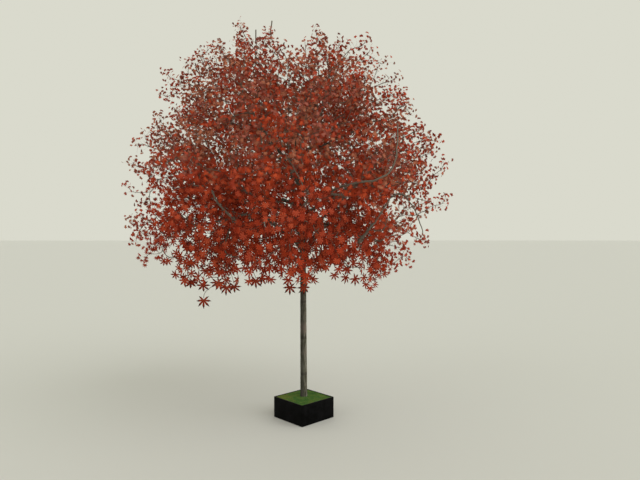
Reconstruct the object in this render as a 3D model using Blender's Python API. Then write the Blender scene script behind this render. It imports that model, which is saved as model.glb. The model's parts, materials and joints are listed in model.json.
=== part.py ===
"""A maple bonsai grown as a standard: one slim trunk, a round red crown, a square black pot.

Units are metres and +Z is up. The origin is the centre of the pot's flat underside, and the
pot's sides run along X and Y. Bearings are degrees round the trunk, counted from the front of
the tree and anticlockwise seen from above, so +90 is to the right of someone who faces it.

The crown is a set of balls, one for each mass of foliage. Each ball is cut back where it meets
its neighbours, and that is the mass's own space. A bough runs to each ball, and twigs with
leaves grow from its tip until the space is full.
"""
import math
import random

import bmesh
import bpy
import numpy as np
from mathutils import Vector
from mathutils.bvhtree import BVHTree

GAP = 0.0003
SEED = 20
UP = Vector((0.0, 0.0, 1.0))

# Pot, soil and moss
POT_SIDE = 0.100
POT_HEIGHT = 0.048
POT_WALL = 0.003
POT_FLOOR = 0.005
POT_EDGE = 0.0006
SOIL_TOP = 0.0425
MOSS_TOP = 0.0472
MOSS_EDGE = 0.0015

# Trunk, from the flat cut on the soil to the fork
FRONT_AZIMUTH = 316.3
TRUNK_FOOT = SOIL_TOP + GAP
FORK_HEIGHT = 0.346
TRUNK_RADIUS_LOW = 0.0080
TRUNK_RADIUS_TOP = 0.0069
ROOT_FLARE = 0.0022
ROOT_FLARE_HEIGHT = 0.009
TRUNK_LEAN = 0.0015
TRUNK_SIDES = 12
TRUNK_RINGS = 14

# Boughs: radius where they leave the wood that carries them, and at their tip
LEADER_RADII = (0.0066, 0.0034)
MAIN_BOUGH_RADII = (0.0050, 0.0027)
SIDE_BOUGH_RADII = (0.0036, 0.0023)
BOUGH_SIDES = 7
BOUGH_STEP = 0.034
BOUGH_WANDER = 0.022
BOUGH_PULLS = (0.38, 0.34)
BOUGH_ENTRY_DEPTH = 0.80
BOUGH_ENTRY_ROOM = 0.012

# Rings of foliage: name, masses, first bearing, height, radius of the ring, radius of a ball
CROWN_RINGS = (
    ("low", 7, 0.0, 0.434, 0.224, 0.130),
    ("middle", 8, 0.0, 0.580, 0.236, 0.126),
    ("high", 6, 30.0, 0.714, 0.180, 0.122),
    ("top", 4, -60.0, 0.808, 0.100, 0.108),
)
CROWN_MIDDLE = 0.52
CROWN_SHIFT = 0.030
RING_STAGGER = 0.018
RING_JITTER = 0.011

# Where each ring's boughs leave the leader, from the first height to the last, and how steeply
MIDDLE_BOUGH_HEIGHTS = (0.362, 0.480)
MIDDLE_BOUGH_RISE = 42.0
HIGH_BOUGH_HEIGHTS = (0.515, 0.610)
HIGH_BOUGH_RISE = 48.0
TOP_BOUGH_HEIGHTS = (0.640, 0.680)
TOP_BOUGH_RISE = 52.0
# The low boughs leave the middle ones, at this share of their length
LOW_BOUGH_SHARE = 0.42
LOW_BOUGH_RISE = 5.0

# Twigs and leaves
STEM_RADIUS = 0.0019
STEM_TAPER = (1.0, 0.9, 0.8, 0.65)
STEM_STRAIGHT = 0.006
STEM_OVERRUN = 0.15
TWIG_RADIUS = 0.0010
TWIGLET_RADIUS = 0.0006
LEAF_RADIUS_LOW = 0.046
LEAF_RADIUS_TOP = 0.039
LEAF_LOBES = ((27.0, 0.40), (52.0, 0.90), (80.0, 0.36), (108.0, 0.66))
LEAF_HUB = 0.0030
LEAF_ROOT = 0.0012
LEAF_STALK = 0.009
LEAVES_PER_MASS = 13
LEAF_SPACING = 0.046
LEAF_TRIES = 900
LEAF_SCATTER = 0.33
OUTWARD_LEANING = 0.8
LEAF_LOOSENESS = 0.4
LEAF_UPRIGHTNESS = 0.7
LEAF_HANG = 0.8
SPACE_MARGIN = 0.0006
# A twig springs from the nearest wood, counting this share of the way back to the bough
WAY_BACK_COST = 0.35
SPRING_SHARES = (0.4, 0.7)
SPRING_CHOICES = 8
FACING_LEAST = 0.1
FACING_STRAIGHT = 0.3

BARK = ((0.105, 0.098, 0.072), 0.85)
CROWN_REDS = ((0.235, 0.030, 0.016), (0.190, 0.022, 0.014), (0.275, 0.040, 0.020))


def clear_scene():
    for obj in list(bpy.data.objects):
        bpy.data.objects.remove(obj, do_unlink=True)


def add_object(name, mesh):
    obj = bpy.data.objects.new(name, mesh)
    bpy.context.scene.collection.objects.link(obj)
    return obj


def mesh_from(name, points, faces):
    mesh = bpy.data.meshes.new(name)
    mesh.from_pydata([tuple(point) for point in points], [], faces)
    mesh.validate()
    return mesh


def finish(obj, colour, roughness, smooth_angle=None):
    """Gives a piece its material, and smooth shading where it is round."""
    material = bpy.data.materials.new(obj.name + "_finish")
    material.use_nodes = True
    shader = material.node_tree.nodes["Principled BSDF"]
    shader.inputs["Base Color"].default_value = (*colour, 1.0)
    shader.inputs["Roughness"].default_value = roughness
    shader.inputs["Metallic"].default_value = 0.0
    obj.data.materials.clear()
    obj.data.materials.append(material)
    if smooth_angle is not None:
        obj.data.shade_smooth()
        obj.data.set_sharp_from_angle(angle=math.radians(smooth_angle))


def apply_modifiers(obj):
    """Swaps the mesh for what its modifiers make of it, and drops them."""
    depsgraph = bpy.context.evaluated_depsgraph_get()
    mesh = bpy.data.meshes.new_from_object(obj.evaluated_get(depsgraph))
    obj.modifiers.clear()
    obj.data = mesh


def cut_away(obj, cutter_mesh):
    """Takes the cutter's shape out of a piece."""
    cutter = add_object("cutter", cutter_mesh)
    boolean = obj.modifiers.new("cut", "BOOLEAN")
    boolean.operation = "DIFFERENCE"
    boolean.solver = "EXACT"
    boolean.object = cutter
    apply_modifiers(obj)
    bpy.data.objects.remove(cutter, do_unlink=True)


def box_mesh(name, side, bottom, top):
    half = side / 2
    corners = [(x, y, z) for z in (bottom, top) for x, y in
               ((-half, -half), (half, -half), (half, half), (-half, half))]
    faces = [(3, 2, 1, 0), (4, 5, 6, 7), (0, 1, 5, 4), (1, 2, 6, 5), (2, 3, 7, 6), (3, 0, 4, 7)]
    return mesh_from(name, corners, faces)


def bevel_edges(obj, width, segments, chosen):
    """Rounds the edges for which chosen(edge) is true."""
    shape = bmesh.new()
    shape.from_mesh(obj.data)
    edges = [edge for edge in shape.edges if chosen(edge)]
    bmesh.ops.bevel(shape, geom=edges, offset=width, segments=segments, affect="EDGES", profile=0.5)
    shape.to_mesh(obj.data)
    shape.free()


def is_upright(edge):
    start, end = (vert.co for vert in edge.verts)
    return abs(start.z - end.z) > POT_FLOOR and (start.xy - end.xy).length < GAP


def direction(bearing):
    """The level unit vector at a bearing."""
    azimuth = math.radians(FRONT_AZIMUTH + bearing)
    return Vector((math.cos(azimuth), math.sin(azimuth), 0.0))


def loose_vector(rng, size=1.0):
    """A vector with each part drawn evenly between -size and size."""
    return Vector([rng.uniform(-size, size) for _ in range(3)])


def make_pot():
    """An open square box of glazed stoneware with a flat underside."""
    pot = add_object("pot", box_mesh("pot", POT_SIDE, 0.0, POT_HEIGHT))
    bevel_edges(pot, POT_EDGE, 2, is_upright)
    cut_away(pot, box_mesh("hollow", POT_SIDE - 2 * POT_WALL, POT_FLOOR, POT_HEIGHT * 2))
    finish(pot, (0.0075, 0.0072, 0.0075), 0.32)


def make_soil():
    side = POT_SIDE - 2 * POT_WALL - 2 * GAP
    soil = add_object("soil", box_mesh("soil", side, POT_FLOOR + GAP, SOIL_TOP))
    finish(soil, (0.035, 0.022, 0.014), 0.95)


def make_moss(trunk_cutter):
    """A carpet of moss with a rounded rim and a hole for the trunk."""
    side = POT_SIDE - 2 * POT_WALL - 2 * GAP
    moss = add_object("moss", box_mesh("moss", side, SOIL_TOP + GAP, MOSS_TOP))
    bevel_edges(moss, MOSS_EDGE, 3, lambda edge: all(vert.co.z > MOSS_TOP - GAP for vert in edge.verts))
    cut_away(moss, trunk_cutter)
    finish(moss, (0.045, 0.090, 0.018), 0.95)


def tube_shape(route, radii, sides):
    """Points and faces of a tube with flat ends that follows a route without twisting."""
    points = []
    across = None
    last = len(route) - 1
    for index, centre in enumerate(route):
        heading = (route[min(index + 1, last)] - route[max(index - 1, 0)]).normalized()
        if across is None:
            across = heading.orthogonal().normalized()
        across = (across - heading * across.dot(heading)).normalized()
        beside = heading.cross(across)
        for side in range(sides):
            angle = math.tau * side / sides
            points.append(centre + (across * math.cos(angle) + beside * math.sin(angle)) * radii[index])
    faces = []
    for ring in range(last):
        for side in range(sides):
            near = ring * sides + side
            near_next = ring * sides + (side + 1) % sides
            faces.append((near, near_next, near_next + sides, near + sides))
    faces.append(tuple(reversed(range(sides))))
    faces.append(tuple(last * sides + side for side in range(sides)))
    return points, faces


class Limb:
    """A tapering length of wood: its route, its radii and how many sides it has."""

    def __init__(self, name, route, radii, sides):
        self.name = name
        self.route = route
        self.radii = radii
        self.sides = sides

    def mesh(self, extra=0.0, longer=0.0):
        """The limb's mesh, made thicker by extra and longer at both ends."""
        route = list(self.route)
        radii = [radius + extra for radius in self.radii]
        if longer:
            route.insert(0, route[0] + (route[0] - route[1]).normalized() * longer)
            route.append(route[-1] + (route[-1] - route[-2]).normalized() * longer)
            radii = [radii[0], *radii, radii[-1]]
        return mesh_from(self.name, *tube_shape(route, radii, self.sides))

    def at(self, share):
        """The point at a share of the limb's length, and the heading there."""
        place = share * (len(self.route) - 1)
        index = min(int(place), len(self.route) - 2)
        step = self.route[index + 1] - self.route[index]
        return self.route[index] + step * (place - index), step.normalized()

    def share_at_height(self, height):
        """The share of a rising limb's length at which it reaches a height."""
        for index in range(len(self.route) - 1):
            low, high = self.route[index].z, self.route[index + 1].z
            if low <= height <= high:
                return (index + (height - low) / (high - low)) / (len(self.route) - 1)
        return 1.0


def trunk_limb():
    """The trunk: nearly upright, widest on the soil, with a faint lean to the left."""
    route = []
    radii = []
    for ring in range(TRUNK_RINGS + 1):
        share = (ring / TRUNK_RINGS) ** 1.6
        height = TRUNK_FOOT + (FORK_HEIGHT - TRUNK_FOOT) * share
        route.append(direction(-90.0) * TRUNK_LEAN * share + UP * height)
        flare = ROOT_FLARE * math.exp(-(height - TRUNK_FOOT) / ROOT_FLARE_HEIGHT)
        radii.append(TRUNK_RADIUS_LOW + (TRUNK_RADIUS_TOP - TRUNK_RADIUS_LOW) * share + flare)
    return Limb("trunk", route, radii, TRUNK_SIDES)


def bough_limb(name, start, heading, end, end_heading, radii, rng):
    """One tapering bough: a smooth curve between two headings, with a slight wander."""
    span = (end - start).length
    leave, arrive = BOUGH_PULLS
    pull = (start, start + heading * span * leave, end - end_heading * span * arrive, end)
    steps = max(5, round(span / BOUGH_STEP))
    drift = loose_vector(rng) * span * BOUGH_WANDER
    route = []
    widths = []
    for step in range(steps + 1):
        share = step / steps
        rest = 1.0 - share
        point = (pull[0] * rest ** 3 + pull[1] * 3 * rest ** 2 * share
                 + pull[2] * 3 * rest * share ** 2 + pull[3] * share ** 3)
        route.append(point + drift * math.sin(math.tau * share) * math.sin(math.pi * share))
        widths.append(radii[1] + (radii[0] - radii[1]) * rest)
    return Limb(name, route, widths, BOUGH_SIDES)


class Crown:
    """The balls of foliage and the planes that part them."""

    def __init__(self, rng):
        self.names = []
        self.bearings = []
        centres = []
        radii = []
        middle = direction(-90.0) * CROWN_SHIFT
        for ring, count, first, height, ring_radius, ball in CROWN_RINGS:
            for number in range(count):
                bearing = first + 360.0 * number / count
                level = height + (RING_STAGGER if number % 2 == 0 else -RING_STAGGER)
                centre = middle + direction(bearing) * ring_radius + UP * level
                self.names.append(f"foliage_{ring}_{number + 1}")
                self.bearings.append(bearing)
                centres.append(centre + loose_vector(rng, RING_JITTER))
                radii.append(ball)
        self.centres = np.array([tuple(centre) for centre in centres])
        self.radii = np.array(radii)
        self.apart = np.linalg.norm(self.centres[:, None] - self.centres[None], axis=2)
        np.fill_diagonal(self.apart, 1.0)

    def room(self, points, index):
        """How far the tightest of some points stays inside a mass's own space."""
        spots = np.array([tuple(point) for point in points])
        power = ((spots[:, None] - self.centres[None]) ** 2).sum(axis=2) - self.radii ** 2
        own = power[:, index]
        to_planes = (power - own[:, None]) / (2 * self.apart[index])
        to_planes[:, index] = 1.0
        to_skin = self.radii[index] - np.sqrt(own + self.radii[index] ** 2)
        return min(to_planes.min(), to_skin.min())

    def centre(self, index):
        return Vector(self.centres[index])

    def ring(self, name):
        return [index for index, full in enumerate(self.names) if full.startswith(f"foliage_{name}_")]

    def entry(self, index, heading):
        """The point where a bough that comes in along a heading ends inside the mass."""
        depth = BOUGH_ENTRY_DEPTH
        while self.room([self.centre(index) - heading * self.radii[index] * depth], index) < BOUGH_ENTRY_ROOM:
            depth -= 0.05
        return self.centre(index) - heading * self.radii[index] * depth


def bough_to(name, parent, share, crown, index, rise, radii, rng):
    """A bough that leaves its parent with a given rise and ends inside a mass."""
    start, along = parent.at(share)
    towards = crown.centre(index) - start
    level = Vector((towards.x, towards.y, 0.0)).normalized()
    heading = level * math.cos(math.radians(rise)) + UP * math.sin(math.radians(rise)) + along * 0.3
    arrive = towards.normalized()
    return bough_limb(name, start, heading.normalized(), crown.entry(index, arrive), arrive, radii, rng)


def grow_boughs(crown, fork, rng):
    """The leader, and every bough with the limb that carries it and the mass it ends in."""
    top = crown.ring("top")
    arrive = (crown.centre(top[0]) - UP * TOP_BOUGH_HEIGHTS[0]).normalized()
    leader = bough_limb("leader", fork, UP, crown.entry(top[0], arrive), arrive, LEADER_RADII, rng)
    boughs = [(leader, None, top[0])]

    # Each bough up the leader leaves it some places round the ring from the one below
    tiers = (
        ("bough", crown.ring("middle"), MIDDLE_BOUGH_HEIGHTS, 3, MIDDLE_BOUGH_RISE, MAIN_BOUGH_RADII),
        ("high_bough", crown.ring("high"), HIGH_BOUGH_HEIGHTS, 5, HIGH_BOUGH_RISE, SIDE_BOUGH_RADII),
        ("top_bough", top[1:], TOP_BOUGH_HEIGHTS, 1, TOP_BOUGH_RISE, SIDE_BOUGH_RADII),
    )
    middle = {}
    for name, ring, (first, last), stride, rise, radii in tiers:
        for order in range(len(ring)):
            place = order * stride % len(ring)
            share = leader.share_at_height(first + (last - first) * order / (len(ring) - 1))
            limb = bough_to(f"{name}_{place + 1}", leader, share, crown, ring[place], rise, radii, rng)
            boughs.append((limb, leader, ring[place]))
            if name == "bough":
                middle[place] = limb

    for place, index in enumerate(crown.ring("low")):
        parent = middle[round(crown.bearings[index] / 360.0 * len(middle)) % len(middle)]
        limb = bough_to(f"low_bough_{place + 1}", parent, LOW_BOUGH_SHARE, crown, index, LOW_BOUGH_RISE,
                        SIDE_BOUGH_RADII, rng)
        boughs.append((limb, parent, index))
    return boughs


def leaf_shape(centre, normal, tip, radius):
    """A five-lobed leaf with a flat back, thickest at its hub and thinning to its edge."""
    outline = ((0.0, 1.0), *LEAF_LOBES, *((-angle, reach) for angle, reach in reversed(LEAF_LOBES)))
    side = normal.cross(tip)
    points = []
    for angle, reach in outline:
        turn = math.radians(angle)
        points.append(centre + (tip * math.cos(turn) + side * math.sin(turn)) * reach * radius)
    count = len(points)
    points.append(centre + normal * LEAF_HUB)
    faces = [(corner, (corner + 1) % count, count) for corner in range(count)]
    faces.append(tuple(reversed(range(count))))
    return points, faces


def leaf_pose(spot, crown_middle, mass_middle, rng):
    """Which way a leaf faces: out of the crown and its mass, with its long lobe hanging."""
    loose = loose_vector(rng)
    outward = ((spot - crown_middle).normalized() + (spot - mass_middle).normalized()) * 0.7
    outward.z *= LEAF_UPRIGHTNESS
    normal = (outward + loose * LEAF_LOOSENESS).normalized()
    hang = Vector((loose.y, loose.z, loose.x)) * 0.6 - UP * LEAF_HANG + outward * 0.2
    tip = (hang - normal * hang.dot(normal)).normalized()
    return normal, tip


def touches(tree, others):
    return any(tree.overlap(other) for other in others)


def place_leaves(crown, index, wood, rng):
    """Even, seeded places for leaves that keep to the mass's space and clear of the wood."""
    crown_middle = direction(-90.0) * CROWN_SHIFT + UP * CROWN_MIDDLE
    outward = (crown.centre(index) - crown_middle).normalized()
    centre = crown.centre(index)
    ball = crown.radii[index]
    share = (centre.z - CROWN_RINGS[0][3]) / (CROWN_RINGS[-1][3] - CROWN_RINGS[0][3])
    radius = LEAF_RADIUS_LOW + (LEAF_RADIUS_TOP - LEAF_RADIUS_LOW) * share
    leaves = []
    for _ in range(LEAF_TRIES):
        if len(leaves) == LEAVES_PER_MASS:
            break
        way = Vector([rng.gauss(0.0, 1.0) for _ in range(3)]) + outward * OUTWARD_LEANING
        spot = centre + way.normalized() * ball * rng.random() ** LEAF_SCATTER
        normal, tip = leaf_pose(spot, crown_middle, centre, rng)
        if any((spot - other[0]).length < LEAF_SPACING for other in leaves):
            continue
        points, faces = leaf_shape(spot, normal, tip, radius)
        if crown.room(points, index) < SPACE_MARGIN:
            continue
        tree = BVHTree.FromPolygons(points, faces)
        if touches(tree, wood) or touches(tree, [other[4] for other in leaves]):
            continue
        leaves.append((spot, normal, points, faces, tree))
    return leaves


def grow_mass(crown, index, bough, wood, rng):
    """One mass: a stem from the bough's tip, a twig to each leaf, and the leaves."""
    heading = (bough.route[-1] - bough.route[-2]).normalized()
    foot = bough.route[-1] + heading * GAP
    centre = crown.centre(index)
    reach = centre + (centre - foot).normalized() * crown.radii[index] * STEM_OVERRUN
    stem_route = [foot, foot + heading * STEM_STRAIGHT, centre, reach]
    stem = tube_shape(stem_route, [STEM_RADIUS * taper for taper in STEM_TAPER], 3)
    stem_tree = BVHTree.FromPolygons(*stem)
    leaves = place_leaves(crown, index, wood + [stem_tree], rng)
    leaves.sort(key=lambda leaf: (leaf[0] - foot).length)
    springs = [(point, (point - foot).length, TWIG_RADIUS) for point in stem_route[1:]]
    pieces = [stem]
    for spot, normal, points, faces, _ in leaves:
        others = [other[4] for other in leaves if other[0] is not spot]
        ranked = sorted(springs, key=lambda spring: (spring[0] - spot).length + WAY_BACK_COST * spring[1])
        root = spot + normal * LEAF_ROOT
        for spring, way_back, radius in ranked[:SPRING_CHOICES]:
            facing = (spot - spring).normalized().dot(normal)
            if facing < FACING_LEAST:
                continue
            route = [spring, root]
            if facing < FACING_STRAIGHT:
                route.insert(1, spot - normal * LEAF_STALK)
            twig = tube_shape(route, [radius] * (len(route) - 1) + [TWIGLET_RADIUS], 3)
            if crown.room(twig[0], index) < SPACE_MARGIN:
                continue
            if touches(BVHTree.FromPolygons(*twig), wood + others):
                continue
            pieces.append(twig)
            pieces.append((points, faces))
            for share in SPRING_SHARES:
                way = way_back + (route[1] - spring).length * share
                springs.append((spring.lerp(route[1], share), way, TWIGLET_RADIUS))
            break
    return pieces


def join_pieces(name, pieces):
    """Fuses the stem, twigs and leaves of a mass into one closed solid."""
    group = bpy.data.collections.new(name)
    bpy.context.scene.collection.children.link(group)
    for points, faces in pieces[1:]:
        group.objects.link(bpy.data.objects.new("piece", mesh_from("piece", points, faces)))
    mass = add_object(name, mesh_from(name, *pieces[0]))
    boolean = mass.modifiers.new("join", "BOOLEAN")
    boolean.operation = "UNION"
    boolean.solver = "MANIFOLD"
    boolean.operand_type = "COLLECTION"
    boolean.collection = group
    apply_modifiers(mass)
    for piece in list(group.objects):
        bpy.data.objects.remove(piece, do_unlink=True)
    bpy.data.collections.remove(group)
    return mass


def keep_largest(obj):
    """Keeps the largest closed body, so no sealed hollow or loose scrap stays."""
    shape = bmesh.new()
    shape.from_mesh(obj.data)
    left = set(shape.faces)
    bodies = []
    while left:
        body = [left.pop()]
        for face in body:
            for edge in face.edges:
                for near in edge.link_faces:
                    if near in left:
                        left.remove(near)
                        body.append(near)
        bodies.append(body)
    bodies.sort(key=len)
    bmesh.ops.delete(shape, geom=[face for body in bodies[:-1] for face in body], context="FACES")
    shape.to_mesh(obj.data)
    shape.free()


def build():
    clear_scene()
    rng = random.Random(SEED)
    crown = Crown(rng)
    trunk = trunk_limb()
    make_pot()
    make_soil()
    make_moss(trunk.mesh(GAP, longer=0.003))
    finish(add_object("trunk", trunk.mesh()), *BARK, smooth_angle=50)

    boughs = grow_boughs(crown, trunk.route[-1] + UP * GAP, rng)
    for limb, parent, _ in boughs:
        bough = add_object(limb.name, limb.mesh())
        if parent is not None:
            cut_away(bough, parent.mesh(GAP))
            keep_largest(bough)
        finish(bough, *BARK, smooth_angle=50)

    thickened = [trunk.mesh(GAP * 0.6)] + [limb.mesh(GAP * 0.6) for limb, _, _ in boughs]
    wood = []
    for mesh in thickened:
        wood.append(BVHTree.FromPolygons([vert.co.copy() for vert in mesh.vertices],
                                         [tuple(face.vertices) for face in mesh.polygons]))
        bpy.data.meshes.remove(mesh)
    for limb, _, index in boughs:
        mass = join_pieces(crown.names[index], grow_mass(crown, index, limb, wood, rng))
        keep_largest(mass)
        finish(mass, CROWN_REDS[index % len(CROWN_REDS)], 0.55)


build()
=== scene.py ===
import json
import math
import random

import bpy
import numpy as np
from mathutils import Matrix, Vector, kdtree, noise

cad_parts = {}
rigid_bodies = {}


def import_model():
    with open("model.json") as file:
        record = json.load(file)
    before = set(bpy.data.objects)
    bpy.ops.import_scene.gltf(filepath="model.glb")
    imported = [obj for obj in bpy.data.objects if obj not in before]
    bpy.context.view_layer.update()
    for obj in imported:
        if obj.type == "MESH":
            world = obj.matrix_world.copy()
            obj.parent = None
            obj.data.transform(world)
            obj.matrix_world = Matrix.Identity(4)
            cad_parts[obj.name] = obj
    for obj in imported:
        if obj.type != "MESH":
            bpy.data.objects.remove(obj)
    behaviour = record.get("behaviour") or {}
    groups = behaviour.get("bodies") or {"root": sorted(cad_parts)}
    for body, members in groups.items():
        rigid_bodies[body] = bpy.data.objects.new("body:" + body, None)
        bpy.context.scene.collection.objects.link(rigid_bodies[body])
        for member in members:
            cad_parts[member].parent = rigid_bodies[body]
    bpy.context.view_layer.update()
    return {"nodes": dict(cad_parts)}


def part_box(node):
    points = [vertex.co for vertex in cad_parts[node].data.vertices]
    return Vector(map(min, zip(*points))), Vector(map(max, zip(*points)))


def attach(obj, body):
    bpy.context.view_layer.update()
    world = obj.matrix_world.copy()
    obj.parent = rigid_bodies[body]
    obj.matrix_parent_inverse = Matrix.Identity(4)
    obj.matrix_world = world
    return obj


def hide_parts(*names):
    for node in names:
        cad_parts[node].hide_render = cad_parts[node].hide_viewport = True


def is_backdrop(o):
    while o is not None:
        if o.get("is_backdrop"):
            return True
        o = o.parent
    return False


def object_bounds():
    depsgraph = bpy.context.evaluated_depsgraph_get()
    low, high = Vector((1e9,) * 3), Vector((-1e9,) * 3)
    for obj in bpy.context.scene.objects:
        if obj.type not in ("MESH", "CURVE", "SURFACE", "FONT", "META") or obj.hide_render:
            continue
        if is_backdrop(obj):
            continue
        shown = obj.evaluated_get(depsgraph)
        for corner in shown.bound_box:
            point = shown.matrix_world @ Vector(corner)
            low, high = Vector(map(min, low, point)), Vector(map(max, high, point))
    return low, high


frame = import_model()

UP = Vector((0.0, 0.0, 1.0))

# The place where the tree stands: a plain pale floor that runs out of sight, in even pale light and
# four soft suns: high and low on the right, on the left, and in front. The camera is level, a little
# under half of the tree's height, at the distance that the pot's corners give.
CAMERA_PLACE = (0.929, -0.835, 0.4167)
CAMERA_TURN = 46.3
CAMERA_LENS = 29.81
FLOOR_REACH = 400.0
FLOOR_COLOUR = (0.600, 0.600, 0.565)
FLOOR_ROUGHNESS = 0.9
AIR_COLOUR = (0.70, 0.70, 0.61)

bpy.context.scene.view_settings.view_transform = "Standard"
camera = bpy.data.objects.new("camera", bpy.data.cameras.new("camera"))
camera.data.lens = CAMERA_LENS
camera.data.clip_end = FLOOR_REACH * 2
camera.location = CAMERA_PLACE
camera.rotation_euler = (math.radians(90.0), 0.0, math.radians(CAMERA_TURN))
bpy.context.scene.collection.objects.link(camera)
bpy.context.scene.camera = camera

air = bpy.data.worlds.new("pale_air")
air.use_nodes = True
air.node_tree.nodes["Background"].inputs["Color"].default_value = (*AIR_COLOUR, 1.0)
bpy.context.scene.world = air


def soft_sun(name, source, spread, strength):
    """Even light from the side where source lies, as from a patch of sky that many degrees across."""
    lamp = bpy.data.objects.new(name, bpy.data.lights.new(name, "SUN"))
    lamp.data.angle = math.radians(spread)
    lamp.data.energy = strength
    lamp.rotation_euler = Vector(source).to_track_quat("Z", "Y").to_euler()
    bpy.context.scene.collection.objects.link(lamp)


soft_sun("sun_right", (2.3, 0.4, 2.0), 50.0, 1.05)
soft_sun("sun_low", (1.6, 1.1, 0.22), 30.0, 0.5)
soft_sun("sun_left", (-0.4, -2.6, 1.2), 50.0, 0.35)
soft_sun("sun_front", (0.929, -0.835, 0.10), 30.0, 0.45)


def new_piece(name, points, faces, edges=()):
    """An object at the origin with its place in its mesh."""
    mesh = bpy.data.meshes.new(name)
    mesh.from_pydata([tuple(point) for point in points], list(edges), faces)
    piece = bpy.data.objects.new(name, mesh)
    bpy.context.scene.collection.objects.link(piece)
    return piece


corners = [(x * FLOOR_REACH, y * FLOOR_REACH, 0.0) for x, y in ((-1, -1), (1, -1), (1, 1), (-1, 1))]
floor = new_piece("floor", corners, [(0, 1, 2, 3)])
pale = bpy.data.materials.new("pale_floor")
pale.use_nodes = True
shader = pale.node_tree.nodes["Principled BSDF"]
shader.inputs["Base Color"].default_value = (*FLOOR_COLOUR, 1.0)
shader.inputs["Roughness"].default_value = FLOOR_ROUGHNESS
floor.data.materials.append(pale)
floor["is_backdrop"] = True

# The pot: an open square box of slab-built stoneware, dipped in a satin black glaze. Its walls are
# slightly uneven from the maker's hands, its edges are softened with a wet sponge, and the glaze
# runs thin and a little brown along the rim.
POT_WALL = 0.003
POT_FLOOR = 0.005
POT_CORNER = 0.0012
RIM_ROUND = 0.0009
WALL_RING_STEP = 0.004
WALL_UNEVENNESS = 0.00012
WALL_UNEVENNESS_SCALE = 45.0
SIDE_STEPS = 12
CORNER_STEPS = 5
RIM_STEPS = 6
INNER_DEPTHS = (0.002, 0.006)
GLAZE_BLACK = (0.0008, 0.0008, 0.0008)
GLAZE_CLOUD = (0.0042, 0.0040, 0.0046)
GLAZE_RIM = (0.011, 0.009, 0.008)


class Wire:
    """A socket of a node tree that takes part in Python expressions."""

    def __init__(self, tree, socket=None):
        self.tree = tree
        self.socket = socket

    def node(self, kind, settings=None, values=None, output=0):
        """Adds a node: its settings first, then the values or wires of its sockets."""
        made = self.tree.nodes.new(kind)
        for name, value in (settings or {}).items():
            setattr(made, name, value)
        for key, value in (values or {}).items():
            if isinstance(value, Wire):
                self.tree.links.new(value.socket, made.inputs[key])
            else:
                made.inputs[key].default_value = value
        return Wire(self.tree, made.outputs[output])

    def math(self, operation, *others):
        return self.node("ShaderNodeMath", {"operation": operation}, dict(enumerate((self, *others))))

    def vector(self, operation, *others, output=0):
        return self.node("ShaderNodeVectorMath", {"operation": operation}, dict(enumerate((self, *others))),
                         output)

    def __add__(self, other):
        return self.math("ADD", other)

    def __sub__(self, other):
        return self.math("SUBTRACT", other)

    def __rsub__(self, other):
        return self.node("ShaderNodeMath", {"operation": "SUBTRACT"}, {0: other, 1: self})

    def __mul__(self, other):
        return self.math("MULTIPLY", other)

    __radd__ = __add__
    __rmul__ = __mul__

    def part(self, name):
        """One of the three parts of this vector."""
        return self.node("ShaderNodeSeparateXYZ", values={0: self}, output=name)

    def between(self, low, high):
        """0 below low and 1 above high, with a smooth passage."""
        return self.node("ShaderNodeMapRange", {"interpolation_type": "SMOOTHSTEP"},
                         {"Value": self, "From Min": low, "From Max": high})

    def blend(self, first, second):
        """The first colour where this is 0 and the second where it is 1."""
        first, second = [end if isinstance(end, Wire) else (*end, 1.0) for end in (first, second)]
        return self.node("ShaderNodeMix", {"data_type": "RGBA"}, {0: self, 6: first, 7: second}, output=2)

    def noise(self, scale, detail=3.0, roughness=0.5):
        """Noise at this place, between 0 and 1."""
        return self.node("ShaderNodeTexNoise", values={
            "Vector": self, "Scale": scale, "Detail": detail, "Roughness": roughness})

    def bump(self, distance, strength=1.0):
        """The normal of a surface that this height raises by up to a distance."""
        return self.node("ShaderNodeBump", values={
            "Height": self, "Distance": distance, "Strength": strength})


def new_finish(name, fixed):
    """A material with the fixed values of its shader set, and a wire to start its nodes from."""
    material = bpy.data.materials.new(name)
    material.use_nodes = True
    shader = material.node_tree.nodes["Principled BSDF"]
    for socket, value in fixed.items():
        shader.inputs[socket].default_value = value
    return material, Wire(material.node_tree)


def feed(material, wires):
    """Links what changes over the surface to the material's shader."""
    shader = material.node_tree.nodes["Principled BSDF"]
    for socket, wire in wires.items():
        material.node_tree.links.new(wire.socket, shader.inputs[socket])


def square_ring(half, height, corner):
    """A level square with rounded corners, anticlockwise seen from above."""
    straight = half - corner
    ring = []
    for quarter in range(4):
        turn = math.tau * quarter / 4
        ahead = Vector((math.cos(turn), math.sin(turn), 0.0))
        left = Vector((-ahead.y, ahead.x, 0.0))
        for step in range(SIDE_STEPS):
            ring.append(ahead * half + left * straight * (2 * step / SIDE_STEPS - 1) + UP * height)
        for step in range(CORNER_STEPS):
            bend = math.radians(90 * step / CORNER_STEPS)
            onward = straight + corner * math.cos(bend)
            across = straight + corner * math.sin(bend)
            ring.append(ahead * onward + left * across + UP * height)
    return ring


def lofted_piece(name, rings):
    """A closed piece skinned over level rings, the first one capped below and the last one above."""
    count = len(rings[0])
    faces = [tuple(reversed(range(count)))]
    for level in range(len(rings) - 1):
        for side in range(count):
            near = level * count + side
            beside = level * count + (side + 1) % count
            faces.append((near, beside, beside + count, near + count))
    faces.append(tuple((len(rings) - 1) * count + side for side in range(count)))
    return new_piece(name, [point for ring in rings for point in ring], faces)


def smooth(piece, angle):
    """Smooth shading, but for edges sharper than an angle in degrees."""
    piece.data.shade_smooth()
    piece.data.set_sharp_from_angle(angle=math.radians(angle))


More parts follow.
